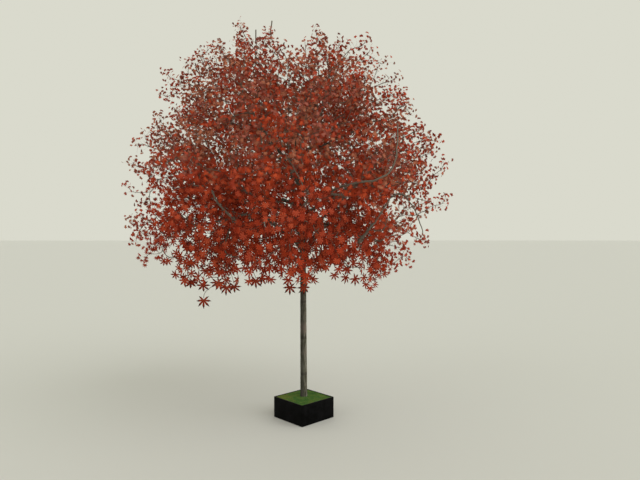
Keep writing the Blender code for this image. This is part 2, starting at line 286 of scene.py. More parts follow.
_, pot_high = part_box("pot")
pot_half = pot_high.x
pot_top = pot_high.z
wall_levels = round((pot_top - 2 * RIM_ROUND) / WALL_RING_STEP)
outline = [(pot_half - RIM_ROUND, 0.0), (pot_half - RIM_ROUND * 0.3, RIM_ROUND * 0.3)]
outline += [(pot_half, RIM_ROUND + (pot_top - 2 * RIM_ROUND) * level / wall_levels)
            for level in range(wall_levels + 1)]
for step in range(1, RIM_STEPS + 1):
    bend = math.radians(180 * step / RIM_STEPS)
    if bend <= math.pi / 2:
        inward = RIM_ROUND * (1 - math.cos(bend))
    else:
        inward = POT_WALL - RIM_ROUND * (1 + math.cos(bend))
    outline.append((pot_half - inward, pot_top - RIM_ROUND * (1 - math.sin(bend))))
outline += [(pot_half - POT_WALL, pot_top - RIM_ROUND - depth) for depth in INNER_DEPTHS]
outline.append((pot_half - POT_WALL, POT_FLOOR))
pot = lofted_piece("glazed_pot", [square_ring(half, height, POT_CORNER) for half, height in outline])
for vertex in pot.data.vertices:
    if RIM_ROUND < vertex.co.z < pot_top - RIM_ROUND:
        away = Vector((vertex.co.x, vertex.co.y, 0.0)).normalized()
        vertex.co -= away * WALL_UNEVENNESS * (0.5 + noise.noise(vertex.co * WALL_UNEVENNESS_SCALE))
smooth(pot, 50)

glaze, start = new_finish("satin_black_glaze", {"Specular IOR Level": 0.035})
place = start.node("ShaderNodeTexCoord", output="Object")
height = place.part("Z")
clouds = place.noise(70.0, detail=7.0, roughness=0.68).between(0.42, 0.68)
flecks = place.noise(900.0, detail=2.0).between(0.60, 0.70)
rim = (height + place.noise(120.0) * 0.0012).between(pot_top - 0.0006, pot_top + 0.0010)
flecked = (flecks * 0.6).blend(GLAZE_CLOUD, GLAZE_RIM)
feed(glaze, {
    "Base Color": rim.blend(clouds.blend(GLAZE_BLACK, flecked), GLAZE_RIM),
    "Roughness": 0.36 + clouds * 0.16 + flecks * 0.08,
    "Normal": (place.noise(38.0) * 1.5 + place.noise(600.0, detail=4.0) * 0.25).bump(0.0006, 0.5),
})
pot.data.materials.append(glaze)
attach(pot, "root")
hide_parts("pot")

# The soil: damp dark potting mix with bits of bark and grit, pressed level in the pot under the
# moss. It is the frame's own solid, with its material.
SOIL_DARK = (0.020, 0.012, 0.008)
SOIL_LIGHT = (0.075, 0.048, 0.030)
SOIL_GRIT = (0.22, 0.20, 0.17)

mix, start = new_finish("potting_mix", {"Specular IOR Level": 0.3})
place = start.node("ShaderNodeTexCoord", output="Object")
crumbs = place.noise(420.0, detail=5.0, roughness=0.65)
grit = start.node("ShaderNodeTexVoronoi", values={"Vector": place, "Scale": 520.0})
grit = 1.0 - grit.between(0.16, 0.24)
feed(mix, {
    "Base Color": grit.blend(crumbs.between(0.35, 0.65).blend(SOIL_DARK, SOIL_LIGHT), SOIL_GRIT),
    "Roughness": 0.95 - grit * 0.25,
    "Normal": (crumbs + grit * 0.3).bump(0.0012),
})
soil = frame["nodes"]["soil"]
soil.data.materials.clear()
soil.data.materials.append(mix)

# The moss: one living carpet of short cushions, laid on the soil flush with the rim and grown round
# the foot of the trunk. The carpet is one closed mesh, and its fine shoots are spikes set all over
# it, in three greens that turn olive towards the sunny corner.
MOSS_CELLS = 84
MOSS_EDGE = 0.0016
CUSHION_SIZE = 0.0085
CUSHION_HEIGHT = 0.0010
MOSS_SWELL = 0.0007
MOSS_SWELL_SCALE = 32.0
MOSS_SINK = 0.4
EDGE_CROWDING = 0.15
TRUNK_SKIRT = 0.0022
TRUNK_SKIRT_REACH = 0.012
SPIKE_LENGTH = 0.0013
SPIKE_GIRTH = 0.00026
SPIKES_TO_THE_SQUARE_METRE = 2.3e6
SPIKES_ABOVE_SLOPE = 0.2
SPIKE_LEAN = 0.6
SPIKE_GROWTH = (0.55, 1.35)
SUNNY_CORNER = (-7.0, -7.0, 0.0)
SHADE_LOOSENESS = (-0.12, 0.12)
DEEP_BELOW = 0.44
OLIVE_ABOVE = 0.60
MOSS_GREENS = ((0.105, 0.225, 0.046), (0.072, 0.170, 0.034), (0.190, 0.240, 0.050))
MOSS_DEEP = (0.032, 0.070, 0.015)


def node_tool(name, inputs, plan):
    """A Geometry Nodes tree with named inputs. plan links the geometry that comes in to its result."""
    tree = bpy.data.node_groups.new(name, "GeometryNodeTree")
    tree.interface.new_socket("Geometry", in_out="INPUT", socket_type="NodeSocketGeometry")
    for label, kind in inputs.items():
        tree.interface.new_socket(label, in_out="INPUT", socket_type="NodeSocket" + kind)
    tree.interface.new_socket("Geometry", in_out="OUTPUT", socket_type="NodeSocketGeometry")
    entry = tree.nodes.new("NodeGroupInput")
    result = plan(Wire(tree), {socket.name: Wire(tree, socket) for socket in entry.outputs if socket.name})
    tree.links.new(result.socket, tree.nodes.new("NodeGroupOutput").inputs[0])
    return tree


def run_tool(piece, tree, values):
    """Swaps a piece's mesh for what a tree makes of it with these values."""
    modifier = piece.modifiers.new(tree.name, "NODES")
    modifier.node_group = tree
    for item in tree.interface.items_tree:
        if item.in_out == "INPUT" and item.name in values:
            modifier[item.identifier] = values[item.name]
    bpy.context.view_layer.update()
    evaluated = piece.evaluated_get(bpy.context.evaluated_depsgraph_get())
    mesh = bpy.data.meshes.new_from_object(evaluated)
    piece.modifiers.remove(modifier)
    while mesh.materials and mesh.materials[0] is None:
        mesh.materials.pop(index=0)
    piece.data = mesh


moss_low, moss_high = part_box("moss")
trunk_low, trunk_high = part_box("trunk")
moss_half = moss_high.x
trunk_middle = Vector(((trunk_low.x + trunk_high.x) / 2, (trunk_low.y + trunk_high.y) / 2, 0.0))


def moss_height(x, y):
    """Cushions of moss that roll over at the pot's wall and climb a little up the trunk."""
    spot = Vector((x, y, 0.0))
    near = noise.voronoi(spot / CUSHION_SIZE)[0][0]
    cushion = CUSHION_HEIGHT * (0.5 - near)
    swell = MOSS_SWELL * noise.noise(spot * MOSS_SWELL_SCALE)
    skirt = TRUNK_SKIRT * math.exp(-((spot - trunk_middle).length - trunk_high.x) / TRUNK_SKIRT_REACH)
    inside = min(moss_half - max(abs(x), abs(y)), MOSS_EDGE) / MOSS_EDGE
    roll = MOSS_EDGE * (1 - math.sqrt(max(0.0, 1 - (1 - inside) ** 2)))
    return moss_high.z - CUSHION_HEIGHT * MOSS_SINK + cushion + swell + min(skirt, TRUNK_SKIRT) - roll


lines = MOSS_CELLS + 1
last = lines * lines - 1
shares = [tick / MOSS_CELLS - 0.5 for tick in range(lines)]
ticks = [moss_half * math.sin(math.pi * share) * EDGE_CROWDING + moss_half * 2 * share * (1 - EDGE_CROWDING)
         for share in shares]
points = [(x, y, moss_height(x, y)) for y in ticks for x in ticks]
faces = [(near, near + 1, near + lines + 1, near + lines)
         for row in range(MOSS_CELLS) for near in range(row * lines, row * lines + MOSS_CELLS)]
border = [*range(MOSS_CELLS), *range(MOSS_CELLS, last, lines),
          *range(last, last - MOSS_CELLS, -1), *range(last - MOSS_CELLS, 0, -lines)]
below = range(len(points), len(points) + len(border))
points += [(points[corner][0], points[corner][1], moss_low.z) for corner in border]
for side in range(len(border)):
    after = (side + 1) % len(border)
    faces.append((border[after], border[side], below[side], below[after]))
faces.append(tuple(reversed(below)))
carpet = new_piece("moss_carpet", points, faces)
smooth(carpet, 60)

deep_moss, start = new_finish("moss_carpet", {"Roughness": 0.95, "Specular IOR Level": 0.2})
place = start.node("ShaderNodeTexCoord", output="Object")
stems = place.noise(1500.0, detail=2.0)
patches = place.noise(60.0, detail=4.0).between(0.35, 0.65)
feed(deep_moss, {
    "Base Color": stems.between(0.35, 0.65).blend(MOSS_DEEP, patches.blend(MOSS_GREENS[1], MOSS_GREENS[2])),
    "Normal": stems.bump(0.0005),
})
carpet.data.materials.append(deep_moss)


def set_material(mesh, material, chosen=True):
    """A mesh with a material on all of its faces or on the chosen ones."""
    return mesh.node("GeometryNodeSetMaterial", values={
        "Geometry": mesh, "Selection": chosen, "Material": material})


def moss_spikes(start, given):
    """Spikes all over the upper side of a carpet, each leaning its own way."""
    upper = start.node("GeometryNodeInputNormal").part("Z").math("GREATER_THAN", SPIKES_ABOVE_SLOPE)
    points = start.node("GeometryNodeDistributePointsOnFaces", values={
        "Mesh": given["Geometry"], "Selection": upper, "Density": given["Density"], "Seed": given["Seed"]})
    spike = start.node("GeometryNodeMeshCone", values={
        "Vertices": 3, "Radius Top": 0.0, "Radius Bottom": given["Girth"], "Depth": given["Length"]})
    lean = start.node("FunctionNodeRandomValue", {"data_type": "FLOAT_VECTOR"},
                      {0: (-SPIKE_LEAN, -SPIKE_LEAN, 0.0), 1: (SPIKE_LEAN, SPIKE_LEAN, math.tau),
                       "Seed": given["Seed"]})
    growth, dealt = [start.node("FunctionNodeRandomValue", {"data_type": "FLOAT"},
                                {2: least, 3: most, "Seed": given["Seed"]}, output=1)
                     for least, most in (SPIKE_GROWTH, SHADE_LOOSENESS)]
    turn = start.node("FunctionNodeEulerToRotation", values={0: lean})
    spikes = start.node("GeometryNodeInstanceOnPoints", values={
        "Points": points, "Instance": spike, "Rotation": turn, "Scale": growth})
    spikes = start.node("GeometryNodeRealizeInstances", values={0: spikes})
    place = start.node("GeometryNodeInputPosition")
    sunny = place.vector("DOT_PRODUCT", SUNNY_CORNER, output="Value").between(0.15, 0.60)
    shade = place.noise(75.0, detail=2.0) + sunny * 0.30 + dealt
    spikes = set_material(spikes, given["Green"])
    spikes = set_material(spikes, given["Deep green"], shade.math("LESS_THAN", DEEP_BELOW))
    return set_material(spikes, given["Olive"], shade.math("GREATER_THAN", OLIVE_ABOVE))


def plain_finish(name, colour, roughness=0.6, specular=0.3):
    """A material of one colour, for small parts that are dealt out in several colours."""
    return new_finish(name, {"Base Color": (*colour, 1.0), "Roughness": roughness,
                             "Specular IOR Level": specular})[0]


moss_tool = node_tool("moss_spikes", {
    "Density": "Float", "Length": "Float", "Girth": "Float", "Seed": "Int",
    "Green": "Material", "Deep green": "Material", "Olive": "Material"}, moss_spikes)
spikes = bpy.data.objects.new("moss_spikes", carpet.data.copy())
bpy.context.scene.collection.objects.link(spikes)
spikes.data.materials.clear()
run_tool(spikes, moss_tool, {
    "Density": SPIKES_TO_THE_SQUARE_METRE, "Length": SPIKE_LENGTH, "Girth": SPIKE_GIRTH, "Seed": 4,
    "Green": plain_finish("moss_green", MOSS_GREENS[0], 0.9),
    "Deep green": plain_finish("moss_deep_green", MOSS_GREENS[1], 0.9),
    "Olive": plain_finish("moss_olive", MOSS_GREENS[2], 0.9),
})
for piece in (carpet, spikes):
    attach(piece, "root")
    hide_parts("moss")

# The trunk and the boughs: one slim stem of young maple, cut flat where it stands on the soil, that
# forks a third of the way up into a leader and boughs. The bark is thin, grey and olive, furrowed on
# the trunk and smoother on the boughs, with painted shade on the trunk's left and painted light on
# its right. They grow by the same rule, seed and order as the solids.
SEED = 20
GAP = 0.0003
FRONT_AZIMUTH = 316.3
TRUNK_RADII = (0.0080, 0.0069)
ROOT_FLARE = 0.0009
ROOT_FLARE_HEIGHT = 0.009
TRUNK_LEAN = 0.0015
TRUNK_RINGS = 14
TRUNK_RING_CROWDING = 1.6
LEADER_RADII = (0.0066, 0.0034)
MAIN_BOUGH_RADII = (0.0050, 0.0027)
SIDE_BOUGH_RADII = (0.0036, 0.0023)
BOUGH_STEP = 0.034
BOUGH_WANDER = 0.022
BOUGH_PULLS = (0.38, 0.34)
BOUGH_ENTRY_DEPTH = 0.80
BOUGH_ENTRY_ROOM = 0.012
BOUGH_FOLLOW = 0.3
# Rings of foliage: name, masses, first bearing, height, radius of the ring, radius of a ball
CROWN_RINGS = (
    ("low", 7, 0.0, 0.434, 0.224, 0.130),
    ("middle", 8, 0.0, 0.580, 0.236, 0.126),
    ("high", 6, 30.0, 0.714, 0.180, 0.122),
    ("top", 4, -60.0, 0.808, 0.100, 0.108),
)
CROWN_MIDDLE = 0.52
CROWN_SHIFT = 0.030
RING_STAGGER = 0.018
RING_JITTER = 0.011
MIDDLE_BOUGH_HEIGHTS = (0.362, 0.480)
MIDDLE_BOUGH_RISE = 42.0
HIGH_BOUGH_HEIGHTS = (0.515, 0.610)
HIGH_BOUGH_RISE = 48.0
TOP_BOUGH_HEIGHTS = (0.640, 0.680)
TOP_BOUGH_RISE = 52.0
LOW_BOUGH_SHARE = 0.42
LOW_BOUGH_RISE = 5.0
COLLAR_SWELL = 0.42
COLLAR_LENGTH = 0.006
CARRYING_SWELL = 0.12
CARRYING_REACH = 0.008
BARK_STEP = 0.006
# Sides round the limb, distance between rings and depth of the furrows
STEM_BARK = (40, 0.0016, 0.00034)
BOUGH_BARK = (18, 0.0022, 0.00018)
BARK_GREY = (0.090, 0.084, 0.062)
BARK_OLIVE = (0.056, 0.056, 0.032)
BARK_FURROW = (0.026, 0.023, 0.015)
BARK_PALE = (0.150, 0.142, 0.116)
BARK_PATCH = (0.155, 0.118, 0.098)
BARK_SCAR = (0.030, 0.026, 0.019)
# How dark the bark is painted on its shaded left and how pale on its lit right
BARK_PAINTED_LIGHT_SIDES = (0.49, 1.57)
FURROW_STRETCH = (1.0, 1.0, 0.10)
FURROW_SCALE = 430.0


def direction(bearing):
    """The level unit vector at a bearing, in degrees anticlockwise from the front of the tree."""
    azimuth = math.radians(FRONT_AZIMUTH + bearing)
    return Vector((math.cos(azimuth), math.sin(azimuth), 0.0))


FRONT = direction(0.0)
RIGHT = direction(90.0)
crown_axis = direction(-90.0) * CROWN_SHIFT
crown_middle = crown_axis + UP * CROWN_MIDDLE


def part_way(first, last, share):
    """The value at a share of the way from one to the other."""
    return first + (last - first) * share


def loose_vector(rng, size=1.0):
    """A vector with each part drawn evenly between -size and size."""
    return Vector([rng.uniform(-size, size) for _ in range(3)])


def curve_between(start, leaving, end, arriving, steps, pulls=BOUGH_PULLS):
    """Points of a smooth curve from start to end between two headings."""
    span = (end - start).length
    pull = (start, start + leaving * span * pulls[0], end - arriving * span * pulls[1], end)
    route = []
    for step in range(steps + 1):
        share = step / steps
        rest = 1.0 - share
        route.append(pull[0] * rest ** 3 + pull[1] * 3 * rest ** 2 * share
                     + pull[2] * 3 * rest * share ** 2 + pull[3] * share ** 3)
    return route


class Limb:
    """A tapering length of wood: its route and its radii."""

    def __init__(self, name, route, radii):
        self.name = name
        self.route = route
        self.radii = radii

    def at(self, share):
        """The point at a share of the limb's length, and the heading there."""
        place = share * (len(self.route) - 1)
        index = min(int(place), len(self.route) - 2)
        step = self.route[index + 1] - self.route[index]
        return self.route[index] + step * (place - index), step.normalized()

    def share_at_height(self, height):
        """The share of a rising limb's length at which it reaches a height."""
        for index in range(len(self.route) - 1):
            low, high = self.route[index].z, self.route[index + 1].z
            if low <= height <= high:
                return (index + (height - low) / (high - low)) / (len(self.route) - 1)
        return 1.0


def trunk_limb():
    """The trunk: nearly upright, widest on the soil, with a faint lean to the left."""
    route = []
    radii = []
    for ring in range(TRUNK_RINGS + 1):
        share = (ring / TRUNK_RINGS) ** TRUNK_RING_CROWDING
        height = part_way(trunk_low.z, trunk_high.z, share)
        route.append(direction(-90.0) * TRUNK_LEAN * share + UP * height)
        flare = ROOT_FLARE * math.exp(-(height - trunk_low.z) / ROOT_FLARE_HEIGHT)
        radii.append(part_way(*TRUNK_RADII, share) + flare)
    return Limb("trunk", route, radii)


def bough_limb(name, start, heading, end, end_heading, radii, rng):
    """One tapering bough: a smooth curve between two headings, with a slight wander."""
    span = (end - start).length
    steps = max(5, round(span / BOUGH_STEP))
    drift = loose_vector(rng) * span * BOUGH_WANDER
    route = curve_between(start, heading, end, end_heading, steps)
    shares = [step / steps for step in range(steps + 1)]
    route = [point + drift * math.sin(math.tau * share) * math.sin(math.pi * share)
             for point, share in zip(route, shares)]
    return Limb(name, route, [part_way(radii[1], radii[0], 1.0 - share) for share in shares])


class Crown:
    """The balls of foliage and the planes that part them."""

    def __init__(self, rng):
        self.names = []
        self.bearings = []
        centres = []
        radii = []
        for ring, count, first, height, ring_radius, ball in CROWN_RINGS:
            for number in range(count):
                bearing = first + 360.0 * number / count
                level = height + (RING_STAGGER if number % 2 == 0 else -RING_STAGGER)
                centre = crown_axis + direction(bearing) * ring_radius + UP * level
                self.names.append(f"foliage_{ring}_{number + 1}")
                self.bearings.append(bearing)
                centres.append(centre + loose_vector(rng, RING_JITTER))
                radii.append(ball)
        self.centres = np.array([tuple(centre) for centre in centres])
        self.radii = np.array(radii)
        self.apart = np.linalg.norm(self.centres[:, None] - self.centres[None], axis=2)
        np.fill_diagonal(self.apart, 1.0)

    def rooms(self, points, index):
        """How far each point stays inside a mass's ball, and inside the planes round its own space."""
        spots = np.array([tuple(point) for point in points])
        power = ((spots[:, None] - self.centres[None]) ** 2).sum(axis=2) - self.radii ** 2
        own = power[:, index]
        to_planes = (power - own[:, None]) / (2 * self.apart[index])
        to_planes[:, index] = 1.0
        return self.radii[index] - np.sqrt(own + self.radii[index] ** 2), to_planes.min(axis=1)

    def centre(self, index):
        return Vector(self.centres[index])

    def ring(self, name):
        return [index for index, full in enumerate(self.names) if full.startswith(f"foliage_{name}_")]

    def entry(self, index, heading):
        """The point where a bough that comes in along a heading ends inside the mass."""
        depth = BOUGH_ENTRY_DEPTH
        while True:
            point = self.centre(index) - heading * self.radii[index] * depth
            if min(part[0] for part in self.rooms([point], index)) >= BOUGH_ENTRY_ROOM:
                return point
            depth -= 0.05


def bough_to(name, parent, share, crown, index, rise, radii, rng):
    """A bough that leaves its parent with a given rise and ends inside a mass."""
    start, along = parent.at(share)
    towards = crown.centre(index) - start
    level = Vector((towards.x, towards.y, 0.0)).normalized()
    heading = level * math.cos(math.radians(rise)) + UP * math.sin(math.radians(rise)) + along * BOUGH_FOLLOW
    arrive = towards.normalized()
    return bough_limb(name, start, heading.normalized(), crown.entry(index, arrive), arrive, radii, rng)


def grow_boughs(crown, fork, rng):
    """The leader, and every bough with the limb that carries it and the mass it ends in."""
    top = crown.ring("top")
    arrive = (crown.centre(top[0]) - UP * TOP_BOUGH_HEIGHTS[0]).normalized()
    leader = bough_limb("leader", fork, UP, crown.entry(top[0], arrive), arrive, LEADER_RADII, rng)
    boughs = [(leader, None, top[0])]
    tiers = (
        ("bough", crown.ring("middle"), MIDDLE_BOUGH_HEIGHTS, 3, MIDDLE_BOUGH_RISE, MAIN_BOUGH_RADII),
        ("high_bough", crown.ring("high"), HIGH_BOUGH_HEIGHTS, 5, HIGH_BOUGH_RISE, SIDE_BOUGH_RADII),
        ("top_bough", top[1:], TOP_BOUGH_HEIGHTS, 1, TOP_BOUGH_RISE, SIDE_BOUGH_RADII),
    )
    middle = {}
    for name, ring, (first, last), stride, rise, radii in tiers:
        for order in range(len(ring)):
            place = order * stride % len(ring)
            share = leader.share_at_height(first + (last - first) * order / (len(ring) - 1))
            limb = bough_to(f"{name}_{place + 1}", leader, share, crown, ring[place], rise, radii, rng)
            boughs.append((limb, leader, ring[place]))
            if name == "bough":
                middle[place] = limb
    for place, index in enumerate(crown.ring("low")):
        parent = middle[round(crown.bearings[index] / 360.0 * len(middle)) % len(middle)]
        limb = bough_to(f"low_bough_{place + 1}", parent, LOW_BOUGH_SHARE, crown, index, LOW_BOUGH_RISE,
                        SIDE_BOUGH_RADII, rng)
        boughs.append((limb, parent, index))
    return boughs


def wood_paths(name, runs):
    """Lines along runs of wood, each a list of points and a list of radii, kept as girth."""
    points = [point for route, _ in runs for point in route]
    edges = []
    for route, _ in runs:
        first = edges[-1][1] + 1 if edges else 0
        edges += [(first + step, first + step + 1) for step in range(len(route) - 1)]
    paths = new_piece(name, points, [], edges)
    girth = paths.data.attributes.new("girth", "FLOAT", "POINT")
    girth.data.foreach_set("value", [radius for _, radii in runs for radius in radii])
    return paths


def keep(mesh, name, value, kind="FLOAT"):
    """A mesh or curve whose points hold a value under a name from here on."""
    return mesh.node("GeometryNodeStoreNamedAttribute", {"data_type": kind},
                     {0: mesh, "Name": name, "Value": value})


def held(start, name, kind="FLOAT"):
    """The value that each point or face holds under a name."""
    return start.node("GeometryNodeInputNamedAttribute", {"data_type": kind}, {"Name": name})


def unit_ring(start, sides):
    """A ring of radius 1, which a tube's girth scales."""
    return start.node("GeometryNodeCurvePrimitiveCircle", values={"Resolution": sides, "Radius": 1.0})


def tube_along(path, ring):
    """A closed tube along each path, as thick as the girth that its points hold."""
    return path.node("GeometryNodeCurveToMesh", values={
        0: path, 1: ring, "Scale": held(path, "girth"), "Fill Caps": True})


def bark_tube(start, given):
    """A closed tube along each path, as thick as its girth, with furrows in its bark."""
    path = start.node("GeometryNodeMeshToCurve", values={0: given["Geometry"]})
    path = start.node("GeometryNodeCurveSplineType", {"spline_type": "CATMULL_ROM"}, {0: path})
    path = start.node("GeometryNodeResampleCurve", {"mode": "LENGTH"},
                      {0: path, "Length": given["Ring spacing"]})
    path = keep(path, "along", start.node("GeometryNodeSplineParameter", output="Length"))
    ring = keep(unit_ring(start, given["Sides"]), "round", start.node("GeometryNodeSplineParameter"))
    girth = held(start, "girth")
    turn = held(start, "round") * math.tau
    tube = tube_along(path, ring)
    grain = start.node("ShaderNodeCombineXYZ", values={
        0: turn.math("COSINE") * girth, 1: turn.math("SINE") * girth, 2: held(start, "along")})
    tube = keep(tube, "grain", grain, "FLOAT_VECTOR")
    furrows = grain.vector("MULTIPLY", FURROW_STRETCH).noise(FURROW_SCALE)
    knots = grain.noise(75.0, detail=1.0)
    depth = given["Furrow depth"]
    lift = (furrows - 0.5) * 2.0 * depth + (knots - 0.5) * 2.5 * depth
    lifts = start.node("ShaderNodeCombineXYZ", values={0: lift, 1: lift, 2: lift})
    offset = start.node("GeometryNodeInputNormal").vector("MULTIPLY", lifts)
    tube = start.node("GeometryNodeSetPosition", values={0: tube, "Offset": offset})
    tube = start.node("GeometryNodeSetShadeSmooth", values={0: tube})
    tube = start.node("GeometryNodeRealizeInstances", values={0: tube})
    return set_material(tube, given["Bark"])


bark, start = new_finish("young_maple_bark", {"Specular IOR Level": 0.25})
grain = start.node("ShaderNodeAttribute", {"attribute_name": "grain"}, output="Vector")
place = start.node("ShaderNodeTexCoord", output="Object")
height = place.part("Z")
long_grain = grain.vector("MULTIPLY", FURROW_STRETCH)
ridges = long_grain.noise(FURROW_SCALE)
fibres = long_grain.noise(2100.0, detail=3.0, roughness=0.6)
lenticels = grain.vector("MULTIPLY", (0.35, 0.35, 1.3)).noise(700.0, detail=2.0).between(0.62, 0.70)
lichen = grain.noise(110.0, detail=5.0, roughness=0.6).between(0.45, 0.66)
aged = 1.0 - height.between(0.10, 0.45)
skin = lichen.blend(BARK_GREY, BARK_OLIVE)
skin = (ridges * 0.7 + fibres * 0.3).between(0.47, 0.66).blend(skin, BARK_PALE)
skin = (1.0 - (ridges * 0.75 + fibres * 0.25).between(0.34, 0.50)).blend(skin, BARK_FURROW)
skin = (lenticels * 0.55).blend(skin, BARK_FURROW)
flat_grain = grain.vector("MULTIPLY", (0.10, 0.10, 1.0))
patches = flat_grain.noise(21.0, detail=1.0, roughness=0.5).between(0.50, 0.62)
skin = (patches * 0.55).blend(skin, BARK_PATCH)
scars = flat_grain.noise(58.0, detail=2.0, roughness=0.6).between(0.55, 0.61)
skin = (scars * 0.66).blend(skin, BARK_SCAR)
# Painted light: the bark is painted darker on the trunk's left, away from the suns, and paler on its right
in_crown = height.between(0.30, 0.38)
sunny = place.vector("DOT_PRODUCT", tuple(RIGHT), output="Value").between(-0.004, 0.008)
# Inside the crown the painted side light gives way to one fixed tone between the two
sunny = sunny * (1.0 - in_crown) + in_crown * 0.35
painted_side_tone = sunny.math("MULTIPLY_ADD", BARK_PAINTED_LIGHT_SIDES[1] - BARK_PAINTED_LIGHT_SIDES[0], BARK_PAINTED_LIGHT_SIDES[0])
feed(bark, {
    "Base Color": skin.vector("MULTIPLY", painted_side_tone),
    "Roughness": 0.72 + fibres * 0.2,
    "Normal": (ridges * (0.5 + aged * 0.5) + fibres * 0.35 - lenticels * 0.2).bump(0.0007),
})

bark_tool = node_tool("bark_tube", {
    "Sides": "Int", "Ring spacing": "Float", "Furrow depth": "Float", "Bark": "Material"}, bark_tube)
rng = random.Random(SEED)
crown = Crown(rng)
trunk = trunk_limb()
boughs = grow_boughs(crown, trunk.route[-1] + UP * GAP, rng)
carried = {}
for limb, parent, _ in boughs:
    if parent is not None:
        carried.setdefault(parent.name, []).append(limb.route[0])


def grown_run(limb, collar=True):
    """A limb's route in short steps, with its radii swollen at its foot and where it carries others."""
    length = sum((after - before).length for before, after in zip(limb.route, limb.route[1:]))
    count = max(12, round(length / BARK_STEP))
    shares = [step / count for step in range(count + 1)]
    route = [limb.at(share)[0] for share in shares]
    radii = []
    for share, point in zip(shares, route):
        place = share * (len(limb.radii) - 1)
        index = min(int(place), len(limb.radii) - 2)
        radius = part_way(limb.radii[index], limb.radii[index + 1], place - index)
        if collar:
            radius *= 1 + COLLAR_SWELL * math.exp(-(point - route[0]).length / COLLAR_LENGTH)
        near = min([(point - foot).length for foot in carried.get(limb.name, [])], default=1.0)
        radii.append(radius * (1 + CARRYING_SWELL * math.exp(-(near / CARRYING_REACH) ** 2)))
    return route, radii


stem_runs = [grown_run(trunk, collar=False), grown_run(boughs[0][0], collar=False)]
stem_run = [stem_runs[0][part][:-1] + stem_runs[1][part] for part in (0, 1)]
limb_groups = {"trunk_and_leader": ([stem_run], ["trunk", "leader"], STEM_BARK)}
for name in ("boughs", "high_boughs", "top_boughs", "low_boughs"):
    limbs = [limb for limb, _, _ in boughs if limb.name.startswith(name[:-1] + "_")]
    limb_groups[name] = ([grown_run(limb) for limb in limbs], [limb.name for limb in limbs], BOUGH_BARK)
for name, (runs, nodes, (sides, spacing, depth)) in limb_groups.items():
    piece = wood_paths(name, runs)
    run_tool(piece, bark_tool, {"Sides": sides, "Ring spacing": spacing, "Furrow depth": depth, "Bark": bark})
    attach(piece, "root")
    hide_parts(*nodes)

# The twigs: in each mass a stem runs on from the bough's tip, and a twig springs for every shoot from
# the nearest wood, counting a share of the way back to the bough, as in the solids but finer. Wood
# is as thick as the shoots that it carries need, grey where it is old and reddish where it is young.
STEM_OVERRUN = 0.15
WAY_BACK_COST = 0.35
TURN_BACK_COST = 0.35
SHOOTS_PER_MASS = {"low": 41, "middle": 60, "high": 53, "top": 38}
THIN_MASSES = {"foliage_low_3": 0.45, "foliage_low_6": 0.80}
SHOOT_TRIES = 3500
SHOOT_SPACING = 0.023
PUFF_SPACING = 0.048
PUFF_DEPTH = 0.040
SHOOT_SCATTER = 0.26
SHOOT_BIAS = 0.45
SHOOT_REACH = 0.02
HALO = {"low": 0.006, "middle": 0.006, "high": 0.008, "top": 0.022}
INNER_HALO = -0.020
PLANE_MARGIN = 0.002
CROWN_ROOF = (0.835, 0.795)
ROOF_STEP_WIDTH = 0.06
ROOF_LOOSENESS = 0.025
CROWN_FLOOR = 0.350
CROWN_FLOOR_REACH = 0.235
CROWN_FLOOR_RISE = 0.95
